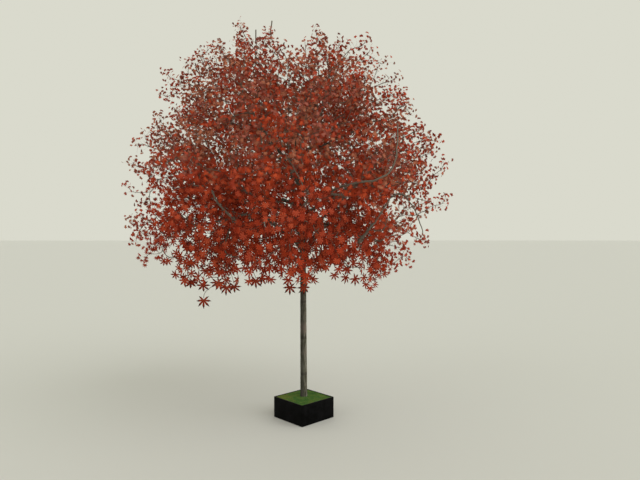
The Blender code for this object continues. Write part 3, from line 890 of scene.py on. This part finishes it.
# The outermost shoots and leaves, in millimetres: to the right of the trunk, towards the front, and up
OUTER_TIPS = {
    "outer": (
        (-150, 0, 920), (-202, 0, 878), (-225, 0, 866), (-245, 0, 853), (-255, 0, 825), (-292, 0, 790),
        (-320, 0, 806), (-330, 0, 758), (-362, 0, 671), (-396, 0, 640), (-402, 0, 596), (-378, 0, 505),
        (-368, 0, 470), (-350, 0, 430), (-388, 0, 450), (-113, 0, 880), (29, 0, 907), (85, 0, 880),
        (156, 0, 864), (190, 0, 835), (215, 0, 798), (232, 0, 760), (253, 0, 711), (311, 0, 652),
        (300, 0, 625), (330, 0, 595), (298, 0, 560), (330, 0, 511), (292, 0, 490), (-80, 0, 900),
        (-45, 30, 858), (5, 20, 868), (45, -20, 872), (125, 0, 836), (-232, 30, 838), (-212, -30, 855),
        (-252, -20, 815), (-190, 20, 862), (-272, 20, 785), (-285, -20, 768), (-375, 20, 470),
        (-368, -20, 505), (-408, 0, 462), (272, 0, 680), (290, 0, 660), (238, 0, 738), (285, 0, 540),
        (-140, 20, 897), (-162, -20, 890), (-100, 0, 872), (-86, 30, 885), (-68, -20, 872),
        (-112, 20, 856), (-365, 20, 658), (-345, -20, 676), (-330, 30, 695), (-302, 0, 722),
        (240, 20, 720), (222, -20, 735), (-240, 0, 692), (-215, 60, 702), (-200, -60, 696),
        (-262, 30, 680), (-225, 110, 690), (-285, -30, 700), (-325, 20, 420), (-376, 30, 438),
        (-360, -30, 402), (-233, 0, 826), (-216, 30, 817), (-98, 20, 866), (-412, 0, 540), (198, 0, 356),
        (180, 50, 368), (-150, 200, 640), (-130, 220, 605), (-30, 210, 515), (-55, 180, 505),
        (-12, 190, 500), (70, 200, 589), (85, 180, 575), (-159, 140, 705), (-244, 100, 666),
        (-85, 50, 862), (-60, 30, 848), (172, 20, 815), (-350, 0, 632), (285, 30, 632), (-14, 210, 560),
        (-30, 0, 772), (0, -40, 765), (-50, -50, 770), (12, 30, 762), (-62, 12, 775), (-20, -80, 760),
        (12, 200, 585), (-42, 210, 540), (22, 210, 530),
    ),
    "hanging": (
        (-395, 0, 417), (-372, 0, 376), (283, 0, 417), (245, 0, 372), (-285, 0, 345), (-262, 50, 338),
        (-215, 60, 330), (-175, 80, 335), (146, 50, 325), (166, 30, 338), (-335, 0, 388), (-312, 30, 372),
        (-348, -20, 408), (-130, 100, 345), (-70, 120, 350), (-45, 80, 342), (-18, 100, 348),
        (22, 80, 345), (-95, 90, 352), (104, 50, 346), (132, 60, 340), (2, 120, 385), (-30, 130, 385),
        (32, 120, 378), (98, 90, 395),
    ),
    "bare": (
        (-75, 0, 933), (-113, 0, 912), (-46, 0, 882),
    ),
    "lone": (
        (-214, 100, 291), (-164, 100, 319), (-101, 100, 334), (-30, 50, 315), (2, 50, 315),
        (-254, 50, 326), (-226, 50, 320), (-195, 50, 326), (-156, 50, 317),
    ),
}
# Limbs that show among the leaves: their way, in millimetres too, and their girths at both ends
SEEN_LIMBS = (
    (((60, 190, 512), (104, 235, 526), (140, 250, 529), (172, 250, 548), (184, 245, 590), (190, 210, 645)),
     (0.0033, 0.0010)),
    (((118, 170, 415), (158, 160, 462), (196, 150, 512), (229, 150, 489), (258, 140, 420)), (0.0032, 0.0008)),
    (((196, 150, 512), (240, 120, 506), (285, 80, 500)), (0.0014, 0.0006)),
    (((-130, 190, 456), (-158, 215, 484), (-172, 220, 512)), (0.0030, 0.0018)),
    (((14, 230, 494), (7, 260, 518), (-21, 270, 568), (-34, 270, 600)), (0.0017, 0.0008)),
)
LIMB_WANDER = 0.0022
LIMB_WANDER_SCALE = 70.0
TWIG_STEP = 0.008
TWIG_WANDER = 0.05
TWIG_FOLLOW = {"inner": 0.6, "outer": 0.6, "hanging": 0.6, "lone": 0.6, "bare": 0.0}
INNER_ENDING = (0.6, 0.5, 0.2)
OUTER_ENDING = 0.3
OUTER_RISE = {"outer": 0.5, "bare": 0.5, "hanging": -0.9, "lone": -0.9}
TWIG_FOOT_SWELL = 1.35
BOUGH_TIP_GIRTHS = (0.97, 0.90, 0.75)
TWIG_SIDES = 5
SHOOT_GIRTH = 0.00058
GIRTH_GROWTH = 0.40
YOUNG_GIRTH = 0.00060
BARE_GIRTH = 2.6
OLD_WOOD = (0.132, 0.112, 0.085)
YOUNG_WOOD = (0.085, 0.045, 0.030)


class Wood:
    """The wood of one mass: points, each with the one it grew from and its way back to the bough."""

    def __init__(self):
        self.points = []
        self.headings = []
        self.parents = []
        self.ways = []
        self.loads = []

    def grow(self, route, parent):
        """Adds a twig along a route, as the first or from a point that is there, and returns its points."""
        if parent is None:
            self.add(route[0], (route[1] - route[0]).normalized(), -1, 0.0)
            parent = 0
        chain = [parent]
        for before, point in zip(route, route[1:]):
            step = point - before
            self.add(point, step.normalized(), parent, self.ways[parent] + step.length)
            parent = len(self.points) - 1
            chain.append(parent)
        return chain

    def add(self, point, heading, parent, way):
        self.points.append(point)
        self.headings.append(heading)
        self.parents.append(parent)
        self.ways.append(way)
        self.loads.append(0)

    def spring_for(self, tip):
        """The point from which the twig to a tip springs at the least cost."""
        spots = np.array([tuple(point) for point in self.points])
        headings = np.array([tuple(heading) for heading in self.headings])
        towards = np.array(tuple(tip)) - spots
        span = np.linalg.norm(towards, axis=1) + 1e-9
        facing = (towards * headings).sum(axis=1) / span
        cost = span * (1 + TURN_BACK_COST * (1 - facing)) + WAY_BACK_COST * np.array(self.ways)
        return int(np.argmin(cost))

    def carry(self, point):
        """Counts one more shoot on all the wood between a point and the bough."""
        while point >= 0:
            self.loads[point] += 1
            point = self.parents[point]

    def girth(self, point):
        return SHOOT_GIRTH * self.loads[point] ** GIRTH_GROWTH


def passed(value, first, last):
    """How far a value is on the way from first to last, between 0 and 1."""
    return min(1.0, max(0.0, (value - first) / (last - first)))


def crown_roof(spot):
    """The height over which only the outermost shoots rise: lower on the right than on the left."""
    return part_way(*CROWN_ROOF, min(1.0, max(0.0, spot.dot(RIGHT) / ROOF_STEP_WIDTH + 2.0)))


def crown_floor(spot):
    """The height under which no leaf hangs: level under the middle of the crown, rising outwards."""
    reach = (Vector((spot.x, spot.y, 0.0)) - crown_axis).length
    return CROWN_FLOOR + CROWN_FLOOR_RISE * max(0.0, reach - CROWN_FLOOR_REACH)


def place_shoots(crown, index, rng):
    """Even, seeded places for the tips of shoots, each with room for its halo of leaves."""
    centre = crown.centre(index)
    outward = (centre - crown_middle).normalized()
    ring = crown.names[index].split("_")[1]
    tips = []
    for _ in range(SHOOT_TRIES):
        if len(tips) >= SHOOTS_PER_MASS[ring] * THIN_MASSES.get(crown.names[index], 1.0):
            break
        way = Vector([rng.gauss(0.0, 1.0) for _ in range(3)]) + outward * SHOOT_BIAS
        spot = centre + way.normalized() * (crown.radii[index] + SHOOT_REACH) * rng.random() ** SHOOT_SCATTER
        to_skin, to_planes = crown.rooms([spot], index)
        inside = (spot - centre).dot(outward) < 0.0
        if to_skin[0] < (INNER_HALO if inside else HALO[ring]) or to_planes[0] < PLANE_MARGIN:
            continue
        if spot.z < crown_floor(spot):
            continue
        if spot.z > crown_roof(spot) + rng.uniform(-ROOF_LOOSENESS, ROOF_LOOSENESS):
            continue
        depth = 1.0 if inside else min(1.0, (to_skin[0] - HALO[ring]) / PUFF_DEPTH)
        apart = part_way(PUFF_SPACING, SHOOT_SPACING, depth)
        if all((spot - other).length >= apart for other in tips):
            tips.append(spot)
    return tips


def seen_spot(right, front, up):
    return RIGHT * (right / 1000) + FRONT * (front / 1000) + UP * (up / 1000)


def seen_from_front(spot):
    """Where a point shows from the camera, on the upright plane through the trunk: to the right, and up."""
    eye = Vector(CAMERA_PLACE)
    shown = eye + (spot - eye) * eye.dot(FRONT) / (eye - spot).dot(FRONT)
    return Vector((shown.dot(RIGHT), shown.z, 0.0))


def nearest_mass(spot):
    gaps = [(spot - crown.centre(index)).length - crown.radii[index] for index in range(len(crown.names))]
    return int(np.argmin(gaps))


outer_tips = {}
for kind, places in OUTER_TIPS.items():
    for spot in (seen_spot(*place) for place in places):
        outer_tips.setdefault(nearest_mass(spot), []).append((spot, kind))
seen_limbs = {}
for ways, girths in SEEN_LIMBS:
    ways = [seen_spot(*way) for way in ways]
    seen_limbs.setdefault(nearest_mass(ways[1]), []).append((ways, girths))


def grow_twigs(crown, index, bough, rng):
    """A mass's wood, and its shoots, each a chain of points of the wood that ends in a tip, and a kind."""
    heading = (bough.route[-1] - bough.route[-2]).normalized()
    foot = bough.route[-1]
    centre = crown.centre(index)
    onward = (centre - foot).normalized()
    reach = centre + onward * crown.radii[index] * STEM_OVERRUN
    wood = Wood()
    steps = round((reach - foot).length / TWIG_STEP)
    chains = [(wood.grow(curve_between(foot, heading, reach, onward, steps), None), "inner")]
    for ways, girths in seen_limbs.get(index, []):
        spring = wood.spring_for(ways[0])
        ways = [wood.points[spring], *ways]
        ends = [(after - before).normalized() for before, after in zip(ways, [*ways[2:], ways[-1]])]
        ends.insert(0, wood.headings[spring])
        route = [ways[0]]
        for number in range(len(ways) - 1):
            steps = max(2, round((ways[number + 1] - ways[number]).length / TWIG_STEP))
            route += curve_between(ways[number], ends[number], ways[number + 1], ends[number + 1], steps)[1:]
        for number in range(1, len(route)):
            route[number] += noise.noise_vector(route[number] * LIMB_WANDER_SCALE) * LIMB_WANDER
        chains.append((wood.grow(route, spring), girths))
    tips = [(tip, "inner") for tip in place_shoots(crown, index, rng)] + outer_tips.get(index, [])
    for tip, kind in sorted(tips, key=lambda found: (found[0] - foot).length):
        spring = wood.spring_for(tip)
        start = wood.points[spring]
        towards = (tip - start).normalized()
        leaving = (wood.headings[spring] * TWIG_FOLLOW[kind] + towards).normalized()
        if kind == "inner":
            on, out, up = INNER_ENDING
            arriving = (towards * on + (tip - centre).normalized() * out + UP * up).normalized()
        else:
            arriving = (towards * OUTER_ENDING + UP * OUTER_RISE[kind]).normalized()
        steps = max(3, round((tip - start).length / TWIG_STEP))
        drift = loose_vector(rng) * (tip - start).length * (0.0 if kind == "bare" else TWIG_WANDER)
        route = curve_between(start, leaving, tip, arriving, steps)
        route = [point + drift * math.sin(math.tau * step / steps) for step, point in enumerate(route)]
        chain = wood.grow(route, spring)
        wood.carry(chain[-1])
        chains.append((chain, kind))
    wood.carry(chains[0][0][-1])
    return wood, chains


noise.seed_set(SEED)
masses = {}
for limb, _, index in boughs:
    masses[index] = (limb, *grow_twigs(crown, index, limb, random.Random(SEED + index)))


def twig_tube(start, given):
    """A closed tube along each path, as thick as its girth."""
    path = start.node("GeometryNodeMeshToCurve", values={0: given["Geometry"]})
    tube = tube_along(path, unit_ring(start, given["Sides"]))
    tube = start.node("GeometryNodeSetShadeSmooth", values={0: tube})
    tube = start.node("GeometryNodeRealizeInstances", values={0: tube})
    tube = set_material(tube, given["Old wood"])
    young = held(start, "girth").math("LESS_THAN", given["Young girth"])
    return set_material(tube, given["Young wood"], young)


twig_tool = node_tool("twig_tube", {
    "Sides": "Int", "Young girth": "Float", "Old wood": "Material", "Young wood": "Material"}, twig_tube)
twig_finishes = {"Old wood": plain_finish("old_twig", OLD_WOOD, 0.8),
                 "Young wood": plain_finish("young_twig", YOUNG_WOOD, 0.65)}
for ring, *_ in CROWN_RINGS:
    runs = []
    for index in crown.ring(ring):
        limb, wood, chains = masses[index]
        for chain, kind in chains:
            radii = [wood.girth(point) * (BARE_GIRTH if kind == "bare" else 1.0) for point in chain]
            if isinstance(kind, tuple):
                radii = [kind[0] + (kind[1] - kind[0]) * step / len(chain) for step in range(len(chain))]
            radii[0] = min(radii[0], radii[1] * TWIG_FOOT_SWELL)
            if chain is chains[0][0]:
                first, second, third = [limb.radii[-1] * share for share in BOUGH_TIP_GIRTHS]
                radii[:3] = [first, second, max(radii[2], third)]
            runs.append(([wood.points[point] for point in chain], radii))
    piece = wood_paths(f"twigs_{ring}", runs)
    run_tool(piece, twig_tool, {"Sides": TWIG_SIDES, "Young girth": YOUNG_GIRTH, **twig_finishes})
    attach(piece, "root")
    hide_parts(*[crown.names[index] for index in crown.ring(ring)])

# The leaves: palmate, of five to seven narrow pointed lobes, in pairs that turn round each shoot on
# hair-thin stalks, small at the ends of the shoots and largest low down. They are orange-red at the
# heart and maroon at the tips. Most on a shoot share one of four tints. Large ones are richer and
# lighter, the extra lightness painted light against the shade low in the crown, and they carry
# painted shade on one half of each lobe. The lone leaves below the crown are a darker copy, painted
# shade against the full light on them.
SHOOT_LENGTH = 0.072
PAIR_SPACING = (0.0022, 0.0042)
PAIR_TURN = 107.0
PAIR_LOOSENESS = 20.0
PAIR_WIDENING = 0.04
TIP_REACH = 0.016
BARE_FOOT = 0.004
STALK_LENGTH = 0.0205
STALK_VARIETY = (0.45, 1.1)
STALK_AHEAD = (0.25, 1.1)
STALK_AHEAD_LOOSENESS = (-0.15, 0.3)
STALK_RISE = 0.12
STALK_GIRTH = 0.00022
LEAF_SKIN = (0.0056, 0.0044)
SKIN_HEIGHTS = (0.62, 0.84)
LEAF_DEEP = 0.0066
LEAF_LOW = 0.0165
SKIN_DEPTH = 0.062
LOW_HEIGHT = (0.600, 0.335)
LOW_REACH = (0.310, 0.200)
LOW_SHIFT = 0.090
LOW_DEPTHS = (0.5, 1.1)
LEAF_LOOSENESS = 0.35
LEAF_LIFT = 0.48
LEAF_OUTWARD = 0.15
LEAF_TO_FRONT = 22.0
LEAF_VARIETY = 0.14
POINT_LOOSENESS = 0.4
POINT_DROOP = 0.35
# Leaves: the side lobes' angles and reaches, the reach of the notches, and whether the lobes are folded
LEAF_FORMS = {
    "form_0_fine": (((48.0, 0.94), (102.0, 0.80)), 0.60, False),
    "form_1_middle": (((37.0, 0.96), (75.0, 0.86), (116.0, 0.64)), 0.42, False),
    "form_2_broad": (((42.0, 0.98), (85.0, 0.89), (130.0, 0.77)), 0.26, True),
}
LEAF_BODY = 0.62
LOBE_SPREAD = 12.5
LEAF_CUP = 0.18
HUB_FACES = (0.022, -0.010)
NOTCH_LIFT = 0.05
FOLD_LIFTS = (0.045, 0.012)
LEAF_APART = (0.0068, 0.0076, 0.0195)
LEAF_OVERHANG = 0.012
INNER_OVERHANG = 0.025
FLOOR_OVERHANG = 0.012
FINE_BELOW = 0.0070
BROAD_ABOVE = 0.0101
RICH_ABOVE = 0.0078
LEAF_CLEARANCE = 0.0030
LEAF_ZONES = ("Heart", "Lobes", "Tips", "Shade")
LEAF_FIELDS = (("face", "FLOAT_VECTOR"), ("pointing", "FLOAT_VECTOR"), ("size", "FLOAT"))
# Thousandths of red, green and blue in each zone of a leaf; the Shade zone is painted shade
LEAF_TINTS = {
    "scarlet": ((395, 58, 20), (352, 42, 15), (70, 8, 4), (290, 29, 10)),
    "crimson": ((350, 55, 27), (315, 42, 20), (62, 7, 5), (250, 27, 12)),
    "russet": ((355, 122, 67), (310, 100, 57), (170, 36, 22), (250, 80, 45)),
    "garnet": ((300, 88, 60), (260, 70, 49), (100, 21, 16), (210, 56, 39)),
    # Richer tints for large leaves, painted lighter against the shade low in the crown
    "flame": ((435, 83, 36), (375, 46, 16), (150, 15, 6), (345, 37, 13)),
    "ruby": ((385, 72, 36), (340, 42, 17), (135, 13, 6), (310, 33, 13)),
    # The lone leaves' tint: a darker copy, painted shade against the full light on them
    "claret": ((320, 58, 26), (200, 18, 7), (52, 5, 3), (155, 13, 6)),
}
BROAD_TINTS = {"scarlet": "flame", "crimson": "ruby", "russet": "flame", "garnet": "ruby"}
RICH_TINTS = {"scarlet": "scarlet", "crimson": "crimson", "russet": "scarlet", "garnet": "crimson"}
LOW_TINTS = (0.47, 0.45, 0.03, 0.05)
HIGH_TINTS = (0.20, 0.22, 0.34, 0.24)
TINT_HEIGHTS = (0.34, 0.50)
SPRAY_SHARE = 0.55
LONE_STALK = 0.005
LONE_GROWTH = 1.15
LONE_TILT = 0.15
LONE_LOOSENESS = 0.5
STALK_COLOUR = (0.16, 0.045, 0.022)
LIMB_IN_VIEW = 0.0022
LIMB_COVER = 0.01
GAP_EDGE = 2.5
# Where sky shows between the sprays, seen from the front: millimetres to the right and up, radius,
# and percent of the leaves left out
SKY_GAPS = (
    (-33, 812, 50, 50), (62, 817, 42, 42), (109, 864, 28, 68), (156, 770, 33, 42), (250, 718, 28, 45),
    (-320, 572, 45, 55), (250, 440, 40, 55), (222, 485, 46, 65), (-265, 425, 60, 50), (-210, 430, 40, 55),
    (-110, 350, 60, 40), (110, 354, 60, 35), (250, 629, 35, 45), (-260, 486, 50, 60), (-380, 535, 45, 75),
    (-33, 735, 36, 45), (-305, 350, 45, 25), (-215, 478, 34, 38), (-350, 490, 35, 40),
    (-302, 775, 30, 35), (245, 540, 42, 40), (62, 346, 35, 45), (203, 412, 40, 50), (-221, 395, 35, 45),
    (-62, 348, 42, 60), (-315, 530, 35, 40), (0, 800, 30, 35), (-365, 645, 55, 50), (203, 838, 32, 60),
    (-180, 868, 30, 40), (150, 866, 28, 45), (-33, 866, 30, 50),
)


def leaf_form(name, lobes, notch, ribbed):
    """A thin closed leaf of radius 1 with its hub at the origin, its long lobe along Y and its face up.
    A ribbed leaf has a fold along each lobe, and its dark tips begin further out."""
    full = [(-angle, reach) for angle, reach in reversed(lobes)] + [(0.0, 1.0)] + list(lobes)
    points, faces, zones = [], [], []

    def spot(angle, reach, lift):
        turn = math.radians(angle)
        points.append(Vector((math.sin(turn) * reach, math.cos(turn) * reach, lift - LEAF_CUP * reach ** 2)))
        return len(points) - 1

    upper, lower = [spot(0.0, 0.0, lift) for lift in HUB_FACES]
    angles = [angle for angle, _ in full]
    between = [(angle + after) / 2 for angle, after in zip(angles, angles[1:])]
    notches = [spot(-180.0, 0.10, 0.0)] + [spot(angle, notch, NOTCH_LIFT) for angle in between]
    for number, (angle, reach) in enumerate(full):
        left = notches[number]
        right = notches[(number + 1) % len(notches)]
        tip = spot(angle, reach, 0.0)
        if not ribbed:
            faces += [(upper, right, left), (right, tip, left), (lower, left, tip), (lower, tip, right)]
            zones += [0, 1, 1, 1]
        else:
            body = reach * LEAF_BODY
            near, far = [spot(angle + side, body, FOLD_LIFTS[0]) for side in (-LOBE_SPREAD, LOBE_SPREAD)]
            rib_up, rib_down = [spot(angle, body, lift) for lift in (FOLD_LIFTS[1], 0.0)]
            faces += [(upper, left, near, rib_up)[::-1], (upper, rib_up, far, right)[::-1],
                      (lower, left, near, rib_down), (lower, rib_down, far, right),
                      (rib_up, near, tip)[::-1], (rib_up, tip, far)[::-1],
                      (rib_down, near, tip), (rib_down, tip, far)]
            # The far half of each lobe is painted shade, as if the fold turned it from the light
            zones += [0, 3, 1, 3, 2, 2, 2, 2]
    form = new_piece(name, points, faces)
    form.data.attributes.new("zone", "INT", "FACE").data.foreach_set("value", zones)
    return form


forms = bpy.data.collections.new("leaf_forms")
for name, (lobes, notch, ribbed) in LEAF_FORMS.items():
    form = leaf_form(name, lobes, notch, ribbed)
    bpy.context.scene.collection.objects.unlink(form)
    forms.objects.link(form)


def leaves_on(wood, chain, rng):
    """The places for leaves along one shoot, from its tip back: a node, a stalk and a draw."""
    route = [wood.points[point] for point in reversed(chain)]
    lengths = [0.0]
    for before, point in zip(route, route[1:]):
        lengths.append(lengths[-1] + (point - before).length)
    leafy = max(0.0, min(SHOOT_LENGTH, lengths[-1] - BARE_FOOT))
    leaves = []
    turn = rng.uniform(0.0, 360.0)
    back = 0.0
    while back <= leafy:
        step = next(number for number in range(1, len(lengths)) if lengths[number] >= back)
        share = (back - lengths[step - 1]) / (lengths[step] - lengths[step - 1])
        node = route[step - 1].lerp(route[step], share)
        forward = (route[step - 1] - route[step]).normalized()
        side = forward.orthogonal().normalized()
        other = forward.cross(side)
        turn += PAIR_TURN
        near_tip = math.exp(-back / TIP_REACH)
        for half in (0.0, 180.0):
            angle = math.radians(turn + half + rng.uniform(-PAIR_LOOSENESS, PAIR_LOOSENESS))
            away = side * math.cos(angle) + other * math.sin(angle)
            ahead = STALK_AHEAD[0] + STALK_AHEAD[1] * near_tip + rng.uniform(*STALK_AHEAD_LOOSENESS)
            stalk = away + forward * ahead + UP * STALK_RISE
            stalk = stalk.normalized() * (STALK_LENGTH * rng.uniform(*STALK_VARIETY))
            leaves.append((node, stalk, loose_vector(rng)))
        back += part_way(*PAIR_SPACING, min(1.0, back / PAIR_WIDENING))
    return leaves


def nearest_of(points):
    """A tree that finds the nearest of some points."""
    places = kdtree.KDTree(len(points))
    for number, point in enumerate(points):
        places.insert(point, number)
    places.balance()
    return places


limb_runs = [run for runs, *_ in limb_groups.values() for run in runs]
limb_places = nearest_of([point for route, _ in limb_runs for point in route])
limb_radii = [radius for _, radii in limb_runs for radius in radii]
taken = {}


def cell_of(hub):
    return tuple(int(part // LEAF_APART[2]) for part in hub)


def leaf_room(hub, apart):
    """Whether no other leaf's hub is nearer than a distance."""
    x, y, z = cell_of(hub)
    for cell in ((x + a, y + b, z + c) for a in (-1, 0, 1) for b in (-1, 0, 1) for c in (-1, 0, 1)):
        if any((hub - other).length < apart for other in taken.get(cell, [])):
            return False
    return True


def lowness(spot):
    """1 where the leaves are largest, at the foot of the crown's left and front, and 0 away from there."""
    front = spot.dot(FRONT)
    reach = math.hypot(spot.dot(RIGHT) + LOW_SHIFT, front * LOW_DEPTHS[0 if front > 0.0 else 1])
    return passed(spot.z, *LOW_HEIGHT) * passed(reach, *LOW_REACH)


seen_points = [(wood.points[point], girths[0]) for _, wood, chains in masses.values()
               for chain, girths in chains if isinstance(girths, tuple) for point in chain[1:]]
limb_views = nearest_of([seen_from_front(point) for point, _ in seen_points])


def kept_open(hub, draw):
    """Whether a leaf would fill a gap where sky shows, or hide a limb that shows from the front."""
    shown = seen_from_front(hub)
    _, nearest, gap = limb_views.find(shown)
    point, girth = seen_points[nearest]
    if gap < LIMB_IN_VIEW + girth and hub.dot(FRONT) > point.dot(FRONT) - LIMB_COVER:
        return True
    for right, up, radius, percent in SKY_GAPS:
        inside = 1.0 - math.hypot(shown.x - right / 1000, shown.y - up / 1000) / (radius / 1000)
        if inside > 0.0 and draw < percent / 100 * min(1.0, inside * GAP_EDGE):
            return True
    return False


dealt = {ring: {} for ring, *_ in CROWN_RINGS}
for index, (limb, wood, chains) in sorted(masses.items()):
    rng = random.Random(SEED + index)
    ring = crown.names[index].split("_")[1]
    centre = crown.centre(index)
    for chain, kind in chains:
        if kind == "bare" or isinstance(kind, tuple):
            continue
        tip = wood.points[chain[-1]]
        if kind == "lone":
            face = FRONT - UP * LONE_TILT + loose_vector(rng) * LONE_LOOSENESS
            leaf = (tip, -UP * LONE_STALK, face, -UP, LEAF_LOW * LONE_GROWTH)
            # A darker tint for the lone leaves, painted shade
            dealt[ring].setdefault("claret", []).append(leaf)
            continue
        height = passed(tip.z, *TINT_HEIGHTS) * (1.0 - lowness(tip))
        weights = [part_way(low, high, height) for low, high in zip(LOW_TINTS, HIGH_TINTS)]
        shoot_tint = rng.choices(list(BROAD_TINTS), weights)[0]
        found = leaves_on(wood, chain, rng)
        to_skin, to_planes = crown.rooms([node + stalk for node, stalk, *_ in found], index)
        for (node, stalk, loose), skin, plane in zip(found, to_skin, to_planes):
            tint = shoot_tint if rng.random() < SPRAY_SHARE else rng.choices(list(BROAD_TINTS), weights)[0]
            hub = node + stalk
            inside = (hub - centre).dot(centre - crown_middle) < 0.0
            depth = 1.0 if inside else min(1.0, max(0.0, skin) / SKIN_DEPTH)
            low = lowness(hub)
            skin_size = part_way(*LEAF_SKIN, passed(hub.z, *SKIN_HEIGHTS))
            size = part_way(part_way(skin_size, LEAF_DEEP, depth), LEAF_LOW, low)
            size *= 1.0 + loose.x * LEAF_VARIETY
            apart = LEAF_APART[0] * skin_size / LEAF_SKIN[0]
            apart = part_way(part_way(apart, LEAF_APART[1], depth), LEAF_APART[2], low)
            overhang = INNER_OVERHANG if inside else LEAF_OVERHANG
            if kind == "inner" and (skin < -overhang or plane < -INNER_OVERHANG
                                    or hub.z < crown_floor(hub) - FLOOR_OVERHANG):
                continue
            if not leaf_room(hub, apart) or kept_open(hub, (loose.y + 1.0) / 2.0):
                continue
            _, nearest, gap = limb_places.find(hub)
            if gap < limb_radii[nearest] + LEAF_CLEARANCE:
                continue
            taken.setdefault(cell_of(hub), []).append(hub)
            outward = ((hub - crown_middle).normalized() + (hub - centre).normalized()) * LEAF_OUTWARD
            level = direction(loose.z * 180.0 - LEAF_TO_FRONT * math.sin(loose.z * math.tau))
            face = (outward + level + UP * LEAF_LIFT * (1.0 - low) + loose * LEAF_LOOSENESS).normalized()
            # Large leaves take the richer tints with painted light
            if size > RICH_ABOVE:
                tint = (BROAD_TINTS if size > BROAD_ABOVE else RICH_TINTS)[tint]
            point = stalk.normalized() + Vector((loose.y, loose.z, loose.x)) * POINT_LOOSENESS
            point -= UP * POINT_DROOP
            dealt[ring].setdefault(tint, []).append((node, stalk, face, point, size))


def add_field(piece, name, kind, values):
    """A named value on each point of a piece."""
    field = piece.data.attributes.new(name, kind, "POINT")
    if kind == "FLOAT_VECTOR":
        field.data.foreach_set("vector", [part for value in values for part in value])
    else:
        field.data.foreach_set("value", values)


def set_leaves(start, given):
    """A leaf on each point, of the form, facing, pointing and size that the point holds."""
    face, point = [held(start, name, "FLOAT_VECTOR") for name in ("face", "pointing")]
    size = held(start, "size")
    turn = start.node("FunctionNodeAxesToRotation", {"primary_axis": "Z", "secondary_axis": "Y"},
                      {0: face, 1: point})
    choice = start.node("GeometryNodeCollectionInfo", values={
        "Collection": given["Forms"], "Separate Children": True, "Reset Children": True})
    form = size.math("GREATER_THAN", FINE_BELOW) + size.math("GREATER_THAN", BROAD_ABOVE)
    leaves = start.node("GeometryNodeInstanceOnPoints", values={
        "Points": given["Geometry"], "Instance": choice, "Pick Instance": True, "Instance Index": form,
        "Rotation": turn, "Scale": size})
    leaves = start.node("GeometryNodeRealizeInstances", values={0: leaves})
    leaves = set_material(leaves, given["Heart"])
    zone = held(start, "zone", "INT")
    for above, name in ((0.5, "Lobes"), (1.5, "Tips"), (2.5, "Shade")):
        leaves = set_material(leaves, given[name], zone.math("GREATER_THAN", above))
    return leaves


def set_stalks(start, given):
    """A hair-thin stalk from each point along its way."""
    way = held(start, "way", "FLOAT_VECTOR")
    length = way.vector("LENGTH", output="Value")
    spike = start.node("GeometryNodeMeshCone", values={
        "Vertices": 3, "Radius Top": 0.0, "Radius Bottom": 1.0, "Depth": 1.0})
    turn = start.node("FunctionNodeAlignRotationToVector", {"axis": "Z"}, {"Vector": way})
    scale = start.node("ShaderNodeCombineXYZ", values={0: given["Girth"], 1: given["Girth"], 2: length})
    stalks = start.node("GeometryNodeInstanceOnPoints", values={
        "Points": given["Geometry"], "Instance": spike, "Rotation": turn, "Scale": scale})
    stalks = start.node("GeometryNodeRealizeInstances", values={0: stalks})
    return set_material(stalks, given["Stalk"])


leaf_inputs = {"Forms": "Collection", **dict.fromkeys(LEAF_ZONES, "Material")}
leaf_tool = node_tool("set_leaves", leaf_inputs, set_leaves)
stalk_tool = node_tool("set_stalks", {"Girth": "Float", "Stalk": "Material"}, set_stalks)
blade_finishes = {tint: {} for tint in LEAF_TINTS}
for tint, colours in LEAF_TINTS.items():
    for zone, colour in zip(LEAF_ZONES, colours):
        colour = [part / 1000 for part in colour]
        blade_finishes[tint][zone] = plain_finish(f"{tint}_{zone.lower()}", colour, 0.7, 0.05)
stalk_finish = plain_finish("leaf_stalk", STALK_COLOUR)
for ring, tints in dealt.items():
    nodes = [crown.names[index] for index in crown.ring(ring)]
    made = []
    for tint, leaves in tints.items():
        piece = new_piece(f"leaves_{ring}_{tint}", [node + stalk for node, stalk, *_ in leaves], [])
        for number, (name, kind) in enumerate(LEAF_FIELDS, 2):
            add_field(piece, name, kind, [leaf[number] for leaf in leaves])
        run_tool(piece, leaf_tool, {"Forms": forms, **blade_finishes[tint]})
        made.append(piece)
    leaves = [leaf for group in tints.values() for leaf in group]
    piece = new_piece(f"leaf_stalks_{ring}", [leaf[0] for leaf in leaves], [])
    add_field(piece, "way", "FLOAT_VECTOR", [leaf[1] for leaf in leaves])
    run_tool(piece, stalk_tool, {"Girth": STALK_GIRTH, "Stalk": stalk_finish})
    for piece in (*made, piece):
        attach(piece, "root")
        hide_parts(*nodes)
for form in list(forms.objects):
    bpy.data.objects.remove(form)
bpy.data.collections.remove(forms)

low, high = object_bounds()
